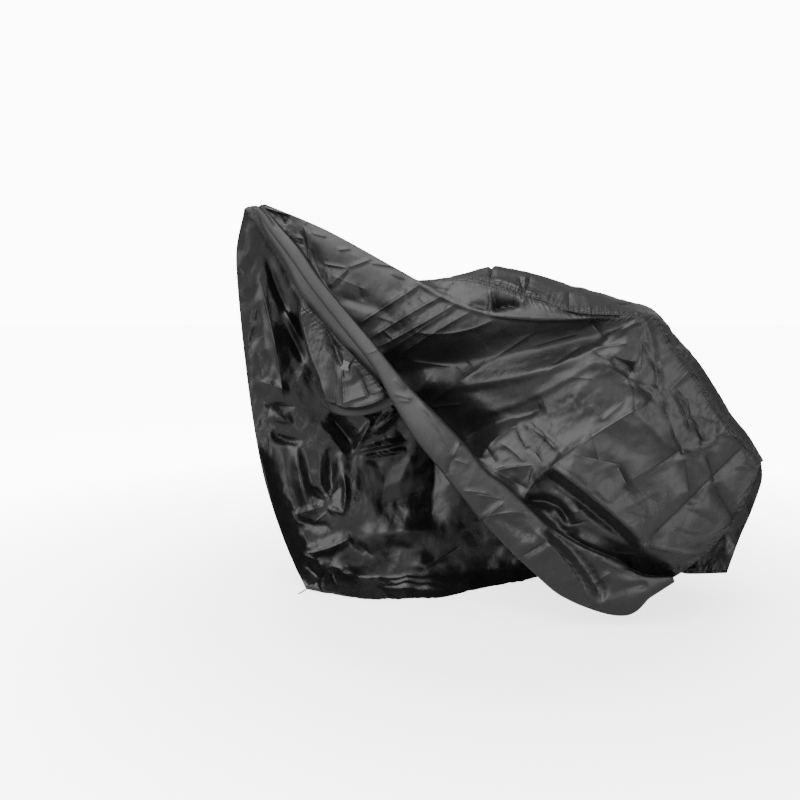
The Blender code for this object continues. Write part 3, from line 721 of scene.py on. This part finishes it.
def crumpled(x, z, regions, seed):
    """How far the crumpled regions move each drawn spot, in millimetres."""
    total = np.zeros_like(x)
    for k, (mx, mz, wide, high, height, size, turn, stretch) in enumerate(zip(*regions.values())):
        inside = step_up(within(x, z, mx, mz, wide, high) * 2)
        total += height * inside * crumple(x, z, size, turn, stretch, seed + 11 * k)
    return total


def calmed(x, z):
    """From 0 to 1, how much of the crumpling is left on the smooth upper panel."""
    return 1 - 0.6 * step_up(1.6 * within(x, z, *CALM_PANEL))


def how_wrinkled(x, z, regions):
    """From 0 to 1, how far the finish's own small creases show at each drawn spot."""
    total = np.full_like(x, CALM)
    for mx, mz, wide, high in zip(*(regions[name] for name in ("x", "z", "wide", "high"))):
        if wide < WIDE_REGION:
            total += 0.5 * step_up(1.6 * within(x, z, mx, mz, wide, high))
    return np.minimum(total, 1)


def pucker(along_it, from_edge, pitch, depth, reach, seed):
    """Gathers across a seam that fade away from it, in millimetres."""
    wave = along_it / pitch + 0.8 * ripple(along_it / pitch * 0.35, from_edge * 0, seed)
    height = 1 - 2.4 * np.abs(ripple(wave * 1.3, from_edge / pitch * 0.25, seed + 1))
    return depth * height * np.exp(-from_edge / reach)


def lengths(grid, axis):
    """Running length along one way of a grid, in metres."""
    step = np.linalg.norm(np.diff(grid, axis=axis), axis=-1)
    return np.concatenate([np.zeros_like(np.take(step, [0], axis)), np.cumsum(step, axis)], axis)


# ---- the three sheets of cloth
def near_surface(stations):
    """The near panel as a grid: hidden hem, round the roll, across the panel, over to the seam."""
    x, z, half, thick, depth, hem_x, hem_z, hem = columns(
        ROLL, stations, "x z half thick depth hem_x hem_z hem_depth")
    mid_x, mid_z, ridge_x, ridge_z, valley, low, mid, ridge, seam_x, seam_z, seam = columns(
        NEAR, stations, "mid_x mid_z ridge_x ridge_z valley low mid ridge seam_x seam_z seam")
    run_x, run_z = (np.gradient(way[:, 0], stations)[:, None] for way in (x, z))
    run = np.hypot(run_x, run_z)
    out_x, out_z = -run_z / run, run_x / run    # across the roll, to its upper right

    # round the roll, from its back, past its left edge and its front, to behind its right edge;
    # the flap that it opens into ends at that edge
    last = flow([0, 2, 4, 8, 9.5, 16], [0, 0, TUCKED, TUCKED, 0, 0], stations)[:, None] * pi
    angle = ROLL_START + (last - ROLL_START) * np.linspace(0, 1, ROLL_COLUMNS)
    across = np.cos(angle) * half
    power = np.where(angle < pi / 2, EDGE_FLATNESS, FLATNESS)
    front = np.sign(np.sin(angle)) * np.abs(np.sin(angle)) ** power
    roll = placed(x + across * out_x, z + across * out_z, depth - front * thick)

    # the hidden part between the hem and the roll's back
    share = np.linspace(0, 1, HEM_COLUMNS + 1)[:-1]
    back = angle[0, 0]
    inner = placed(between(hem_x, x + cos(back) * half * out_x, share),
                   between(hem_z, z + cos(back) * half * out_z, share),
                   between(hem, depth - sin(back) * thick, share))

    # from behind the roll's right edge into the valley and out across the panel to the ridge
    edge_x, edge_z = x + half * np.cos(last) * out_x, z + half * np.cos(last) * out_z
    edge = depth + np.abs(np.sin(last)) ** EDGE_FLATNESS * thick
    share = np.linspace(0, 1, PANEL_COLUMNS + 1)[1:]
    bend_x = 4 * mid_x - 2 * edge_x - 2 * ridge_x     # a rib bows to pass its middle
    bend_z = 4 * mid_z - 2 * edge_z - 2 * ridge_z
    sooner = flow([0, 9, 12, 16], [0, 0, 0.33, 0.33], stations)[:, None]
    along_rib = share ** (1 - sooner)                 # over the flap it comes forward sooner
    knots = np.concatenate([edge, valley, low, mid, ridge], 1)
    valley_at = 0.05 - 0.03 * last / (TUCKED * pi)    # hidden behind the roll where it is tucked
    depths = np.array([flow([0, *first, 0.28, 0.6, 1.0], rib, at)
                       for first, rib, at in zip(valley_at, knots, along_rib)])
    panel = placed(between(edge_x, ridge_x, share) + bend_x * share * (1 - share),
                   between(edge_z, ridge_z, share) + bend_z * share * (1 - share), depths)

    # over the ridge, up to the seam
    share = np.linspace(0, 1, OVER_COLUMNS + 1)[1:]
    top = placed(between(ridge_x, seam_x, share), between(ridge_z, seam_z, share),
                 between(ridge, seam, share))
    return np.concatenate([inner, roll, panel, top], axis=1)


def seam_line(stations):
    """The near seam over the saddle and tail, and past the peak the near panel's turned hem."""
    top = placed(*read(NEAR, np.clip(stations, 0, TAIL), "seam_x seam_z seam"))
    hem_x, hem_z, hem = read(ROLL, np.clip(-stations, 0, TAIL), "hem_x hem_z hem_depth")
    front = placed(hem_x, hem_z, hem + 3)
    mix = np.clip(stations + 0.5, 0, 1)[:, None]
    line = between(front, top, mix)
    line[:, 1] += PEAK_CLEARANCE * np.exp(-((stations / 0.8) ** 2))
    return line


def far_line(stations):
    """The far seam, and past the peak the drooping front end's far edge."""
    top = placed(*read(FAR_SEAM, np.clip(stations, 0, TAIL), "x z depth"))
    front = placed(*read(DROOP, np.clip(-stations, 0, DROOP_END), "x z depth"))
    return np.where((stations < 0)[:, None], front, top)


def gusset_surface(stations, count):
    """The strip between the seams, crowned outwards over the top and drooping in front."""
    near, far = seam_line(stations), far_line(stations)
    crown, = read(FAR_SEAM, np.clip(stations, 0, TAIL), "crown")
    belly, sag = read(DROOP, np.clip(-stations, 0, DROOP_END), "belly sag")
    width = far - near
    run = np.gradient((near + far) / 2, axis=0)
    out = np.cross(width, run)
    out /= np.linalg.norm(out, axis=1, keepdims=True)
    out *= np.where(out[:, 2:3] * (stations >= 0)[:, None] < 0, -1, 1)
    toward = np.where(out[:, 1:2] > 0, -out, out)
    lift = np.where((stations < 0)[:, None], toward * belly[:, None], out * crown[:, None]) * MM
    length = np.linalg.norm(width, axis=1)[:, None, None]
    share = np.linspace(0, 1, count)[None, :, None]
    share = (NEAR_SEAM_GAP * (1 - share) + (length - FAR_SEAM_GAP) * share) / length
    arch = 4 * share * (1 - share)
    grid = near[:, None] + width[:, None] * share + lift[:, None] * arch
    grid[..., 2] -= (sag * MM)[:, None] * arch[..., 0]
    return grid


def far_surface(stations, count):
    """The far panel as a grid from the far seam down to the hem."""
    top = far_line(stations)
    knots = [top]
    for name in ("shoulder", "waist", "knee", "foot", "hem"):
        knots.append(placed(*read(FAR, stations, f"{name}_x {name}_z {name}")))
    knots = np.stack(knots, axis=1)
    direction = knots[:, 1] - knots[:, 0]
    knots[:, 0] += direction / np.linalg.norm(direction, axis=1, keepdims=True) * FAR_SEAM_GAP
    return along(knots, count)


def moved(grid, way, heights):
    """The grid with each point moved its way, in millimetres, and never below the floor."""
    grid = grid + way * heights[..., None] * MM
    grid[..., 2] = np.maximum(grid[..., 2], LOWEST)
    return grid


# ---- shader maths
class Value:
    """A shader socket that adds Math nodes where it is used in an expression."""

    def __init__(self, maker, socket):
        self.maker, self.socket = maker, socket

    def math(self, operation, *others):
        return self.maker.node("ShaderNodeMath", {"operation": operation}, self, *others)

    def __add__(self, other):
        return self.math("ADD", other)

    def __sub__(self, other):
        return self.math("SUBTRACT", other)

    def __rsub__(self, other):
        return self.maker.node("ShaderNodeMath", {"operation": "SUBTRACT"}, other, self)

    def __mul__(self, other):
        return self.math("MULTIPLY", other)

    __radd__, __rmul__ = __add__, __mul__

    def clamped(self):
        return self.maker.node("ShaderNodeClamp", {}, self)


class Nodes:
    """A node tree, with one method that adds any node."""

    def __init__(self, tree):
        self.tree = tree

    def node(self, kind, settings, *values, output=0, **named):
        """Adds a node: its settings first, then values or links for its sockets."""
        made = self.tree.nodes.new(kind)
        for setting, value in settings.items():
            setattr(made, setting, value)
        for socket, value in list(enumerate(values)) + list(named.items()):
            self.feed(made.inputs[socket.replace("_", " ") if isinstance(socket, str) else socket],
                      value)
        return Value(self, made.outputs[output])

    def feed(self, socket, value):
        if isinstance(value, Value):
            self.tree.links.new(value.socket, socket)
        else:
            socket.default_value = value


class Shader(Nodes):
    """A material's node tree, with the patterns that several finishes use."""

    def __init__(self, name, colour, roughness, **constants):
        self.material = bpy.data.materials.new(name)
        self.material.use_nodes = True
        super().__init__(self.material.node_tree)
        self.surface = self.tree.nodes["Principled BSDF"]
        self.surface.inputs["Base Color"].default_value = (*colour, 1)
        self.surface.inputs["Roughness"].default_value = roughness
        for socket, value in constants.items():
            self.surface.inputs[socket.replace("_", " ")].default_value = value

    def put(self, name, value):
        self.feed(self.surface.inputs[name], value)

    def places(self):
        return self.node("ShaderNodeTexCoord", {}, output=3)

    def map(self, name):
        """The two coordinates of a UV map, in metres on the cloth."""
        both = self.node("ShaderNodeUVMap", {"uv_map": name})
        split = self.node("ShaderNodeSeparateXYZ", {}, both)
        return split, Value(self, split.socket.node.outputs[1])

    def noise(self, where, scale, detail=2.0, roughness=0.5):
        return self.node("ShaderNodeTexNoise", {}, Vector=where, Scale=scale, Detail=detail,
                         Roughness=roughness)

    def creases(self, where, scale):
        """Flat facets that meet in straight creases, as the sheets' own shapes have."""
        spots = []
        for shift in ((0, 0, 0), (3.7, 1.9, 5.3)):
            moved = self.node("ShaderNodeMapping", {}, Vector=where, Location=shift,
                              Rotation=(0.4, 0.5, 0.6), Scale=(scale, scale * 1.4, scale * 0.7))
            far = self.node("ShaderNodeTexVoronoi", {}, Vector=moved, Scale=1.0)
            spots.append(far * far)
        return spots[0] - spots[1]

    def bump(self, height, distance, strength=1.0, under=None):
        named = {"Height": height, "Distance": distance, "Strength": strength}
        if under is not None:
            named["Normal"] = under
        return self.node("ShaderNodeBump", {}, **named)

    def blend(self, share, low, high):
        """A colour between two colours."""
        mixed = self.node("ShaderNodeMix", {"data_type": "RGBA"}, share, output=2)
        for socket, colour in ((6, low), (7, high)):
            mixed.socket.node.inputs[socket].default_value = (*colour, 1)
        return mixed


def coated_cloth(name, dark, pale, roughness, gloss_spread, sheen):
    """Coated cloth: a fine weave, small creases, and rows of stitches a little off its seam."""
    shader = Shader(name, dark, roughness, Specular_IOR_Level=sheen)
    where = shader.places()
    u, v = shader.map("cut")
    blotches = shader.noise(where, BLOTCHES, 3.0)
    speckles = shader.noise(where, SPECKLES, 4.0, 0.6)
    wrinkled = shader.node("ShaderNodeAttribute", {"attribute_name": "wrinkled"}, output=2)
    share = (blotches * 0.6 + speckles * 0.4 - 0.3) * 1.6
    shader.put("Base Color", shader.blend(share.clamped(), dark, pale))
    shader.put("Roughness", roughness + (blotches - 0.5) * gloss_spread
               + (speckles - 0.5) * SPECKLE_SPREAD)

    weave = (u * WEAVE).math("SINE") * (v * WEAVE).math("SINE")
    normal = shader.bump(weave, WEAVE_DEPTH)
    amount = ((blotches - 0.40) * 5.0).clamped()    # small creases come in patches
    for scale, distance in FINE_CREASES:
        creases = shader.creases(where, scale)
        normal = shader.bump(creases * amount * wrinkled, distance, under=normal)
    ridges = None
    for k in range(LINE_MAPS):
        away, strength = shader.map(f"lines_{k}")
        line = (1 - (away.math("ABSOLUTE") * (1 / LINE_WIDTH)).clamped()) * strength
        ridges = line if ridges is None else ridges + line
    normal = shader.bump(ridges, LINE_HEIGHT, under=normal)

    along, out_from, reach, depth = GATHERS
    seam_u, seam_v = shader.map("seam")
    gathers = shader.node("ShaderNodeCombineXYZ", {}, seam_u * along, seam_v * out_from)
    near_it = (1 - seam_v * (1 / reach)).clamped()
    normal = shader.bump(shader.noise(gathers, 1.0, 1.0) * near_it * near_it, depth, under=normal)
    half_width, pitch, depth = STITCH
    thread = None
    for distance in STITCH_ROWS:
        across = 1 - ((seam_v - distance).math("ABSOLUTE") * (1 / half_width)).clamped()
        row = across * ((seam_u * (2 * pi / pitch)).math("SINE") + 1.2).clamped()
        thread = row if thread is None else thread + row
    normal = shader.bump(thread, -depth, under=normal)
    shader.put("Normal", normal)
    return shader.material


def webbing():
    """Woven strap: ribs along and across it."""
    shader = Shader("grey_webbing", (0.05, 0.05, 0.052), 0.8)
    u, v = shader.map("cut")
    ribs = (u * (2 * pi / RIB)).math("SINE")
    picks = (v * (2 * pi / PICK)).math("SINE")
    weave = ribs * picks
    shader.put("Base Color", shader.blend((weave * 0.5 + 0.5).clamped(), (0.03, 0.03, 0.032),
                                          (0.075, 0.075, 0.078)))
    shader.put("Normal", shader.bump(weave, 0.0004))
    return shader.material


def moulded_plastic():
    """Plastic with a fine grain."""
    shader = Shader("buckle_plastic", (0.12, 0.12, 0.12), 0.35)
    where = shader.places()
    grain = shader.noise(where, 900.0, 2.0)
    shader.put("Roughness", 0.28 + grain * 0.16)
    shader.put("Normal", shader.bump(grain, 0.0002, 0.4))
    return shader.material


def braided_cord():
    """Cord with slanting bands."""
    shader = Shader("black_cord", (0.03, 0.03, 0.03), 0.7)
    where = shader.places()
    braid = shader.node("ShaderNodeTexWave", {"bands_direction": "DIAGONAL"}, Vector=where,
                        Scale=160.0)
    shader.put("Base Color", shader.blend(braid, (0.02, 0.02, 0.02), (0.07, 0.07, 0.07)))
    shader.put("Normal", shader.bump(braid, 0.0004))
    return shader.material


# ---- pieces
def added(name, data):
    """An object in the scene for a mesh, a curve, a camera or a light."""
    made = bpy.data.objects.new(name, data)
    bpy.context.scene.collection.objects.link(made)
    return made


def settle(name, bm, *finishes):
    """An object for a finished bmesh, with its finishes."""
    mesh = bpy.data.meshes.new(name)
    bm.to_mesh(mesh)
    bm.free()
    for finish in finishes:
        mesh.materials.append(finish)
    return added(name, mesh)


def write_map(mesh, name, u, v):
    """A UV map from a pair of numbers for each point."""
    layer = mesh.uv_layers.new(name=name)
    corner = np.empty(len(mesh.loops), np.int32)
    mesh.loops.foreach_get("vertex_index", corner)
    both = np.stack([u.ravel(), v.ravel()], -1)[corner]
    layer.data.foreach_set("uv", both.astype(np.float32).ravel())


def sheet(name, grid, outside, maps, finishes, thickness=CLOTH, wrinkled=None):
    """A sheet of cloth: a created grid moved to its places, with Solidify for its thickness.

    Its first finish is on the side that faces outside, its last one on the other.
    """
    rows, columns = grid.shape[:2]
    bm = bmesh.new()
    bmesh.ops.create_grid(bm, x_segments=columns - 1, y_segments=rows - 1, size=0.5)
    facing = np.cross(np.gradient(grid, axis=1), np.gradient(grid, axis=0)).sum(axis=(0, 1))
    if np.dot(facing, outside) < 0:
        bmesh.ops.reverse_faces(bm, faces=bm.faces)
    made = settle(name, bm, *finishes)
    made.data.vertices.foreach_set("co", grid.astype(np.float32).ravel())
    for map_name, (u, v) in maps.items():
        write_map(made.data, map_name, u, v)
    if wrinkled is not None:
        layer = made.data.attributes.new("wrinkled", "FLOAT", "POINT")
        layer.data.foreach_set("value", wrinkled.astype(np.float32).ravel())
    made.data.shade_smooth()
    solid = made.modifiers.new("thickness", "SOLIDIFY")
    solid.thickness = thickness
    solid.offset = 0
    solid.material_offset = len(finishes) - 1
    return made


def spots(grid):
    """Where a grid's points are on the fold drawing, and how far along it and across it."""
    return *drawn(grid), lengths(grid, 0), lengths(grid, 1)


def near_panel(finishes):
    """The near side panel with its roll, its folds seen from the eye."""
    stations = np.linspace(0, TAIL, NEAR_ROWS)
    grid = near_surface(stations)
    x, z, run, across = spots(grid)
    from_seam = across[:, -1:] - across
    along_seam = np.broadcast_to(run[:, -1:], from_seam.shape)
    from_side = run[-1:] - run                      # the hem beside the tail is stitched too
    along_seam = np.where(from_side < from_seam, across, along_seam)
    from_seam = np.minimum(from_side, from_seam)

    column = np.arange(grid.shape[1])
    panel = np.clip((column - HEM_COLUMNS - ROLL_COLUMNS + 1) / 3, 0, 1)    # 0 on the roll
    opened = step_up((stations - 6) / 4)[:, None] * 0.7    # the roll is smooth, its flap is not
    drawn_folds = fold_heights(x, z, NEAR_MAIN) + fold_heights(x, z, NEAR_CREASES)
    heights = panel * drawn_folds + (1 - panel) * fold_heights(x, z, ROLL_FOLDS)
    crumples = crumpled(x, z, NEAR_CRUMPLE, 3) * calmed(x, z)
    heights += crumples * (panel + (1 - panel) * (0.08 + opened))
    heights += pucker(along_seam, from_seam, pitch=0.026, depth=4.5, reach=0.024, seed=51)
    fade = np.ones(grid.shape[1])
    fade[:HEM_COLUMNS + 4] = np.linspace(0, 1, HEM_COLUMNS + 4)
    fade[-4:] = np.linspace(1, 0, 4)
    grid = moved(grid, towards_eye(grid), heights * fade)

    on_panel = np.broadcast_to(panel, x.shape)
    on_roll = (1 - on_panel) * (column > HEM_COLUMNS + 6)
    lines = sharp_lines(x, z, ((NEAR_MAIN, on_panel), (NEAR_CREASES, on_panel),
                               (ROLL_FOLDS, on_roll)))
    return sheet("near_panel", grid, (0, -1, 0),
                 {"cut": (run, across), "seam": (along_seam, from_seam), **lines}, finishes,
                 wrinkled=how_wrinkled(x, z, NEAR_CRUMPLE) * (panel + (1 - panel) * (0.2 + opened)))


def top_strip(finishes):
    """The gusset over the top and tail, with its drooping front end."""
    grid = gusset_surface(np.linspace(-DROOP_END, TAIL, TOP_GRID[0]), TOP_GRID[1])
    x, z, run, across = spots(grid)
    whole = across[:, -1:]
    from_seam = np.minimum(across, whole - across)
    along_seam = np.where(across < whole / 2, run[:, :1], run[:, -1:])
    heights = fold_heights(x, z, TOP_MAIN) + crumpled(x, z, TOP_CRUMPLE, 7)
    heights += pucker(along_seam, from_seam, pitch=0.028, depth=5.0, reach=0.022, seed=61)
    fade = np.clip(from_seam / 0.014, 0, 1)
    grid = moved(grid, outwards(grid), heights * fade)
    lines = sharp_lines(x, z, ((TOP_MAIN, np.ones_like(x)),))
    return sheet("top_strip", grid, (0, 0, 1),
                 {"cut": (run, across), "seam": (along_seam, from_seam), **lines}, finishes,
                 wrinkled=how_wrinkled(x, z, TOP_CRUMPLE))


def far_panel(finishes):
    """The far side panel, from its seam down to its hem on the floor."""
    grid = far_surface(TAIL * np.linspace(0, 1, FAR_GRID[0]) ** 1.25, FAR_GRID[1])
    x, z, run, across = spots(grid)
    from_hem = across[:, -1:] - across
    heights = fold_heights(x, z, FAR_MAIN, FAR_TAPER) * FAR_DEEPER + crumpled(x, z, FAR_CRUMPLE, 5)
    fade = np.clip(across / 0.012, 0, 1)
    along_hem = np.broadcast_to(run[:, -1:], from_hem.shape)
    heights += pucker(along_hem, from_hem, pitch=0.035, depth=2.5, reach=0.025, seed=71)
    level = outwards(grid)
    level *= np.sign(level[..., 2:])
    lying = step_up(3 * level[..., 2:] - 1.2)      # where it lies, folds stand up from the floor
    grid = moved(grid, between(towards_eye(grid), level, lying), heights * fade)
    lines = sharp_lines(x, z, ((FAR_MAIN, np.ones_like(x)),))
    return sheet("far_panel", grid, (0, 1, 0),
                 {"cut": (run, across), "seam": (along_hem, from_hem), **lines}, finishes,
                 wrinkled=how_wrinkled(x, z, FAR_CRUMPLE))


def strap(finish):
    """The webbing hangs from the hem, down in front of the drooping cloth."""
    top = seam_line(np.linspace(-4.72, -4.46, 9))
    top = top + towards_eye(top) * HEM_TO_STRAP
    side = np.array([-cos(STRAP_TILT), 0, sin(STRAP_TILT)]) * WEBBING[0]
    end = placed(*STRAP_END) + side * np.linspace(-0.5, 0.5, 9)[:, None]
    drop = np.linspace(0, 1, 22)[:, None, None]
    start = top - np.array([0, 0, WEBBING[1] / 2 + HEM_TO_STRAP])
    grid = between(start, end, drop)
    run, across = lengths(grid, 0), lengths(grid, 1)
    return sheet("closing_strap_webbing", grid, (0, -1, 0), {"cut": (across, run)}, (finish,),
                 WEBBING[1])


def buckle(finish):
    """A moulded buckle half: a flat outline with a waist, rounded edges and two raised bars."""
    width, height, depth = BUCKLE
    outline = [(-0.42, 0), (0.42, 0), (0.30, -0.40), (0.32, -0.62), (0.5, -0.84), (0.44, -1.0),
               (-0.44, -1.0), (-0.5, -0.84), (-0.32, -0.62), (-0.30, -0.40)]
    bm = bmesh.new()
    corners = [bm.verts.new((x * width, -depth / 2, y * height - 0.0007)) for x, y in outline]
    face = bm.faces.new(corners)
    pushed = bmesh.ops.extrude_face_region(bm, geom=[face])
    bmesh.ops.translate(bm, vec=(0, depth, 0),
                        verts=[v for v in pushed["geom"] if isinstance(v, bmesh.types.BMVert)])
    for up, tall in BUCKLE_BARS:
        bar = bmesh.ops.create_cube(bm, size=1.0)["verts"]
        bmesh.ops.scale(bm, vec=(width * 0.56, depth * 1.16, height * tall), verts=bar)
        bmesh.ops.translate(bm, vec=(0, 0, height * up), verts=bar)
    bmesh.ops.recalc_face_normals(bm, faces=bm.faces[:])
    bmesh.ops.bevel(bm, geom=bm.edges[:], offset=0.0005, segments=2, profile=0.5, material=-1,
                    affect="EDGES")
    place = Matrix.Translation(Vector(placed(*STRAP_END))) @ Matrix.Rotation(STRAP_TILT, 4, "Y")
    bmesh.ops.transform(bm, matrix=place, verts=bm.verts[:])
    return settle("buckle_half", bm, finish)


def cord_end(finish):
    """A short cord end on the floor, out of the far panel's front corner."""
    corner = far_surface(np.array([0.0, 0.5]), 25)[0, -1]
    route = CORD_ROUTE * MM
    steps = np.linspace(0, len(route) - 1, 16)
    curve = bpy.data.curves.new("cord_end", "CURVE")
    curve.dimensions, curve.bevel_depth, curve.bevel_resolution = "3D", CORD_DIAMETER / 2, 3
    curve.use_fill_caps = True
    spline = curve.splines.new("POLY")
    spline.points.add(len(steps) - 1)
    points = [(corner[0] + x, corner[1] + y, CORD_DIAMETER / 2 + 0.0002)
              for x, y in flow(np.arange(len(route)), route, steps)]
    for point, place in zip(spline.points, points):
        point.co = (*place, 1)
    curve.materials.append(finish)
    length = sum((Vector(b) - Vector(a)).length for a, b in zip(points, points[1:]))
    return added("cord_end", curve), points[0], length


# ---- studio
def camera():
    """The camera at the eye, for a square frame."""
    data = bpy.data.cameras.new("camera")
    data.sensor_width = 36.0
    data.lens = data.sensor_width * LENS_PER_SENSOR
    made = added("camera", data)
    made.location = (EYE[0] - ORIGIN[0], EYE[1] - ORIGIN[1], EYE[2])
    made.rotation_euler = (pi / 2 - LOOK_DOWN, 0, 0)
    bpy.context.scene.camera = made


def area_light(name, place, aim, size, power):
    """A softbox at a place, turned to the spot that it is aimed at."""
    data = bpy.data.lights.new(name, "AREA")
    data.shape, data.size, data.size_y, data.energy = "RECTANGLE", *size, power
    made = added(name, data)
    made.location = place
    made.rotation_euler = (Vector(aim) - Vector(place)).to_track_quat("-Z", "Y").to_euler()


def studio():
    """A pale floor, a dim room that is brightest at its upper left, and softboxes all round."""
    bm = bmesh.new()
    bmesh.ops.create_grid(bm, x_segments=1, y_segments=1, size=60)
    pale = Shader("pale_floor", (0.8, 0.8, 0.8), 0.9)
    seen = pale.node("ShaderNodeLightPath", {})
    pale.put("Base Color", pale.blend(seen, (0.50, 0.50, 0.50), (0.86, 0.86, 0.86)))
    where = pale.places()
    away = pale.node("ShaderNodeVectorMath", {"operation": "LENGTH"}, where, output=1)
    glow = (((away - GLOW_FROM) * 0.45).clamped() * 3.0 + 1.0) * seen * FLOOR_GLOW
    pale.put("Emission Color", pale.node("ShaderNodeVectorMath", {"operation": "SCALE"},
                                         (1, 1, 1), Scale=glow))
    pale.surface.inputs["Emission Strength"].default_value = 1
    floor = settle("studio_floor", bm, pale.material)
    world = bpy.data.worlds.new("studio")
    world.use_nodes = True
    bpy.context.scene.world = world
    room = Nodes(world.node_tree)
    way = room.node("ShaderNodeTexCoord", {}, output=0)
    lit = room.node("ShaderNodeVectorMath", {"operation": "DOT_PRODUCT"}, way, LIT_FROM, output=1)
    lit = (lit * 0.6 + 0.4).clamped()
    strength = ROOM + lit * lit * CEILING
    seen = room.node("ShaderNodeLightPath", {})
    strength = strength + seen * (BACKDROP - ROOM)
    background = world.node_tree.nodes["Background"]
    background.inputs["Color"].default_value = (1, 1, 1, 1)
    room.feed(background.inputs["Strength"], strength)
    for light in LIGHTS:
        area_light(*light)
    sun = bpy.data.lights.new("ceiling_bounce", "SUN")
    sun.energy, sun.angle = 0.9, radians(80)
    added("ceiling_bounce", sun).rotation_euler = (radians(28), radians(-24), 0)


def stands_for(piece, node):
    """Puts a piece under the model's root in place of a node of the part's model, which it hides.
    """
    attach(piece, "root")
    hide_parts(node)


def main():
    camera()
    cord, exit_, length = cord_end(braided_cord())
    stands_for(cord, "hem_drawcord")
    studio()
    cloth = (
        coated_cloth("coated_cloth", (0.008, 0.008, 0.0085), (0.015, 0.015, 0.016),
                     roughness=0.36, gloss_spread=0.12, sheen=SHEEN_LEVEL),
        # the inner side is darker partly because its coating is blacker and partly as painted
        # shade, which stands in for the shadow that the bicycle and the roll cast inside the cover
        coated_cloth("cloth_coating_and_painted_shade", (0.006, 0.006, 0.0065), (0.012, 0.012, 0.013),
                     roughness=0.25, gloss_spread=0.08, sheen=COATING_LEVEL),
    )
    pieces = (
        (near_panel(cloth), "side_panel_near", (2.05, 1.10), 1.75, ["top_strip"]),
        (far_panel(cloth), "side_panel_far", (2.05, 1.10), 1.80, ["studio_floor"]),
        (top_strip(cloth), "top_gusset", (0.22, 2.55), 0.52, []),
    )
    for piece, node, flat, area, rests in pieces:
        stands_for(piece, node)
    stands_for(strap(webbing()), "closing_strap")
    stands_for(buckle(moulded_plastic()), "strap_buckle")


main()
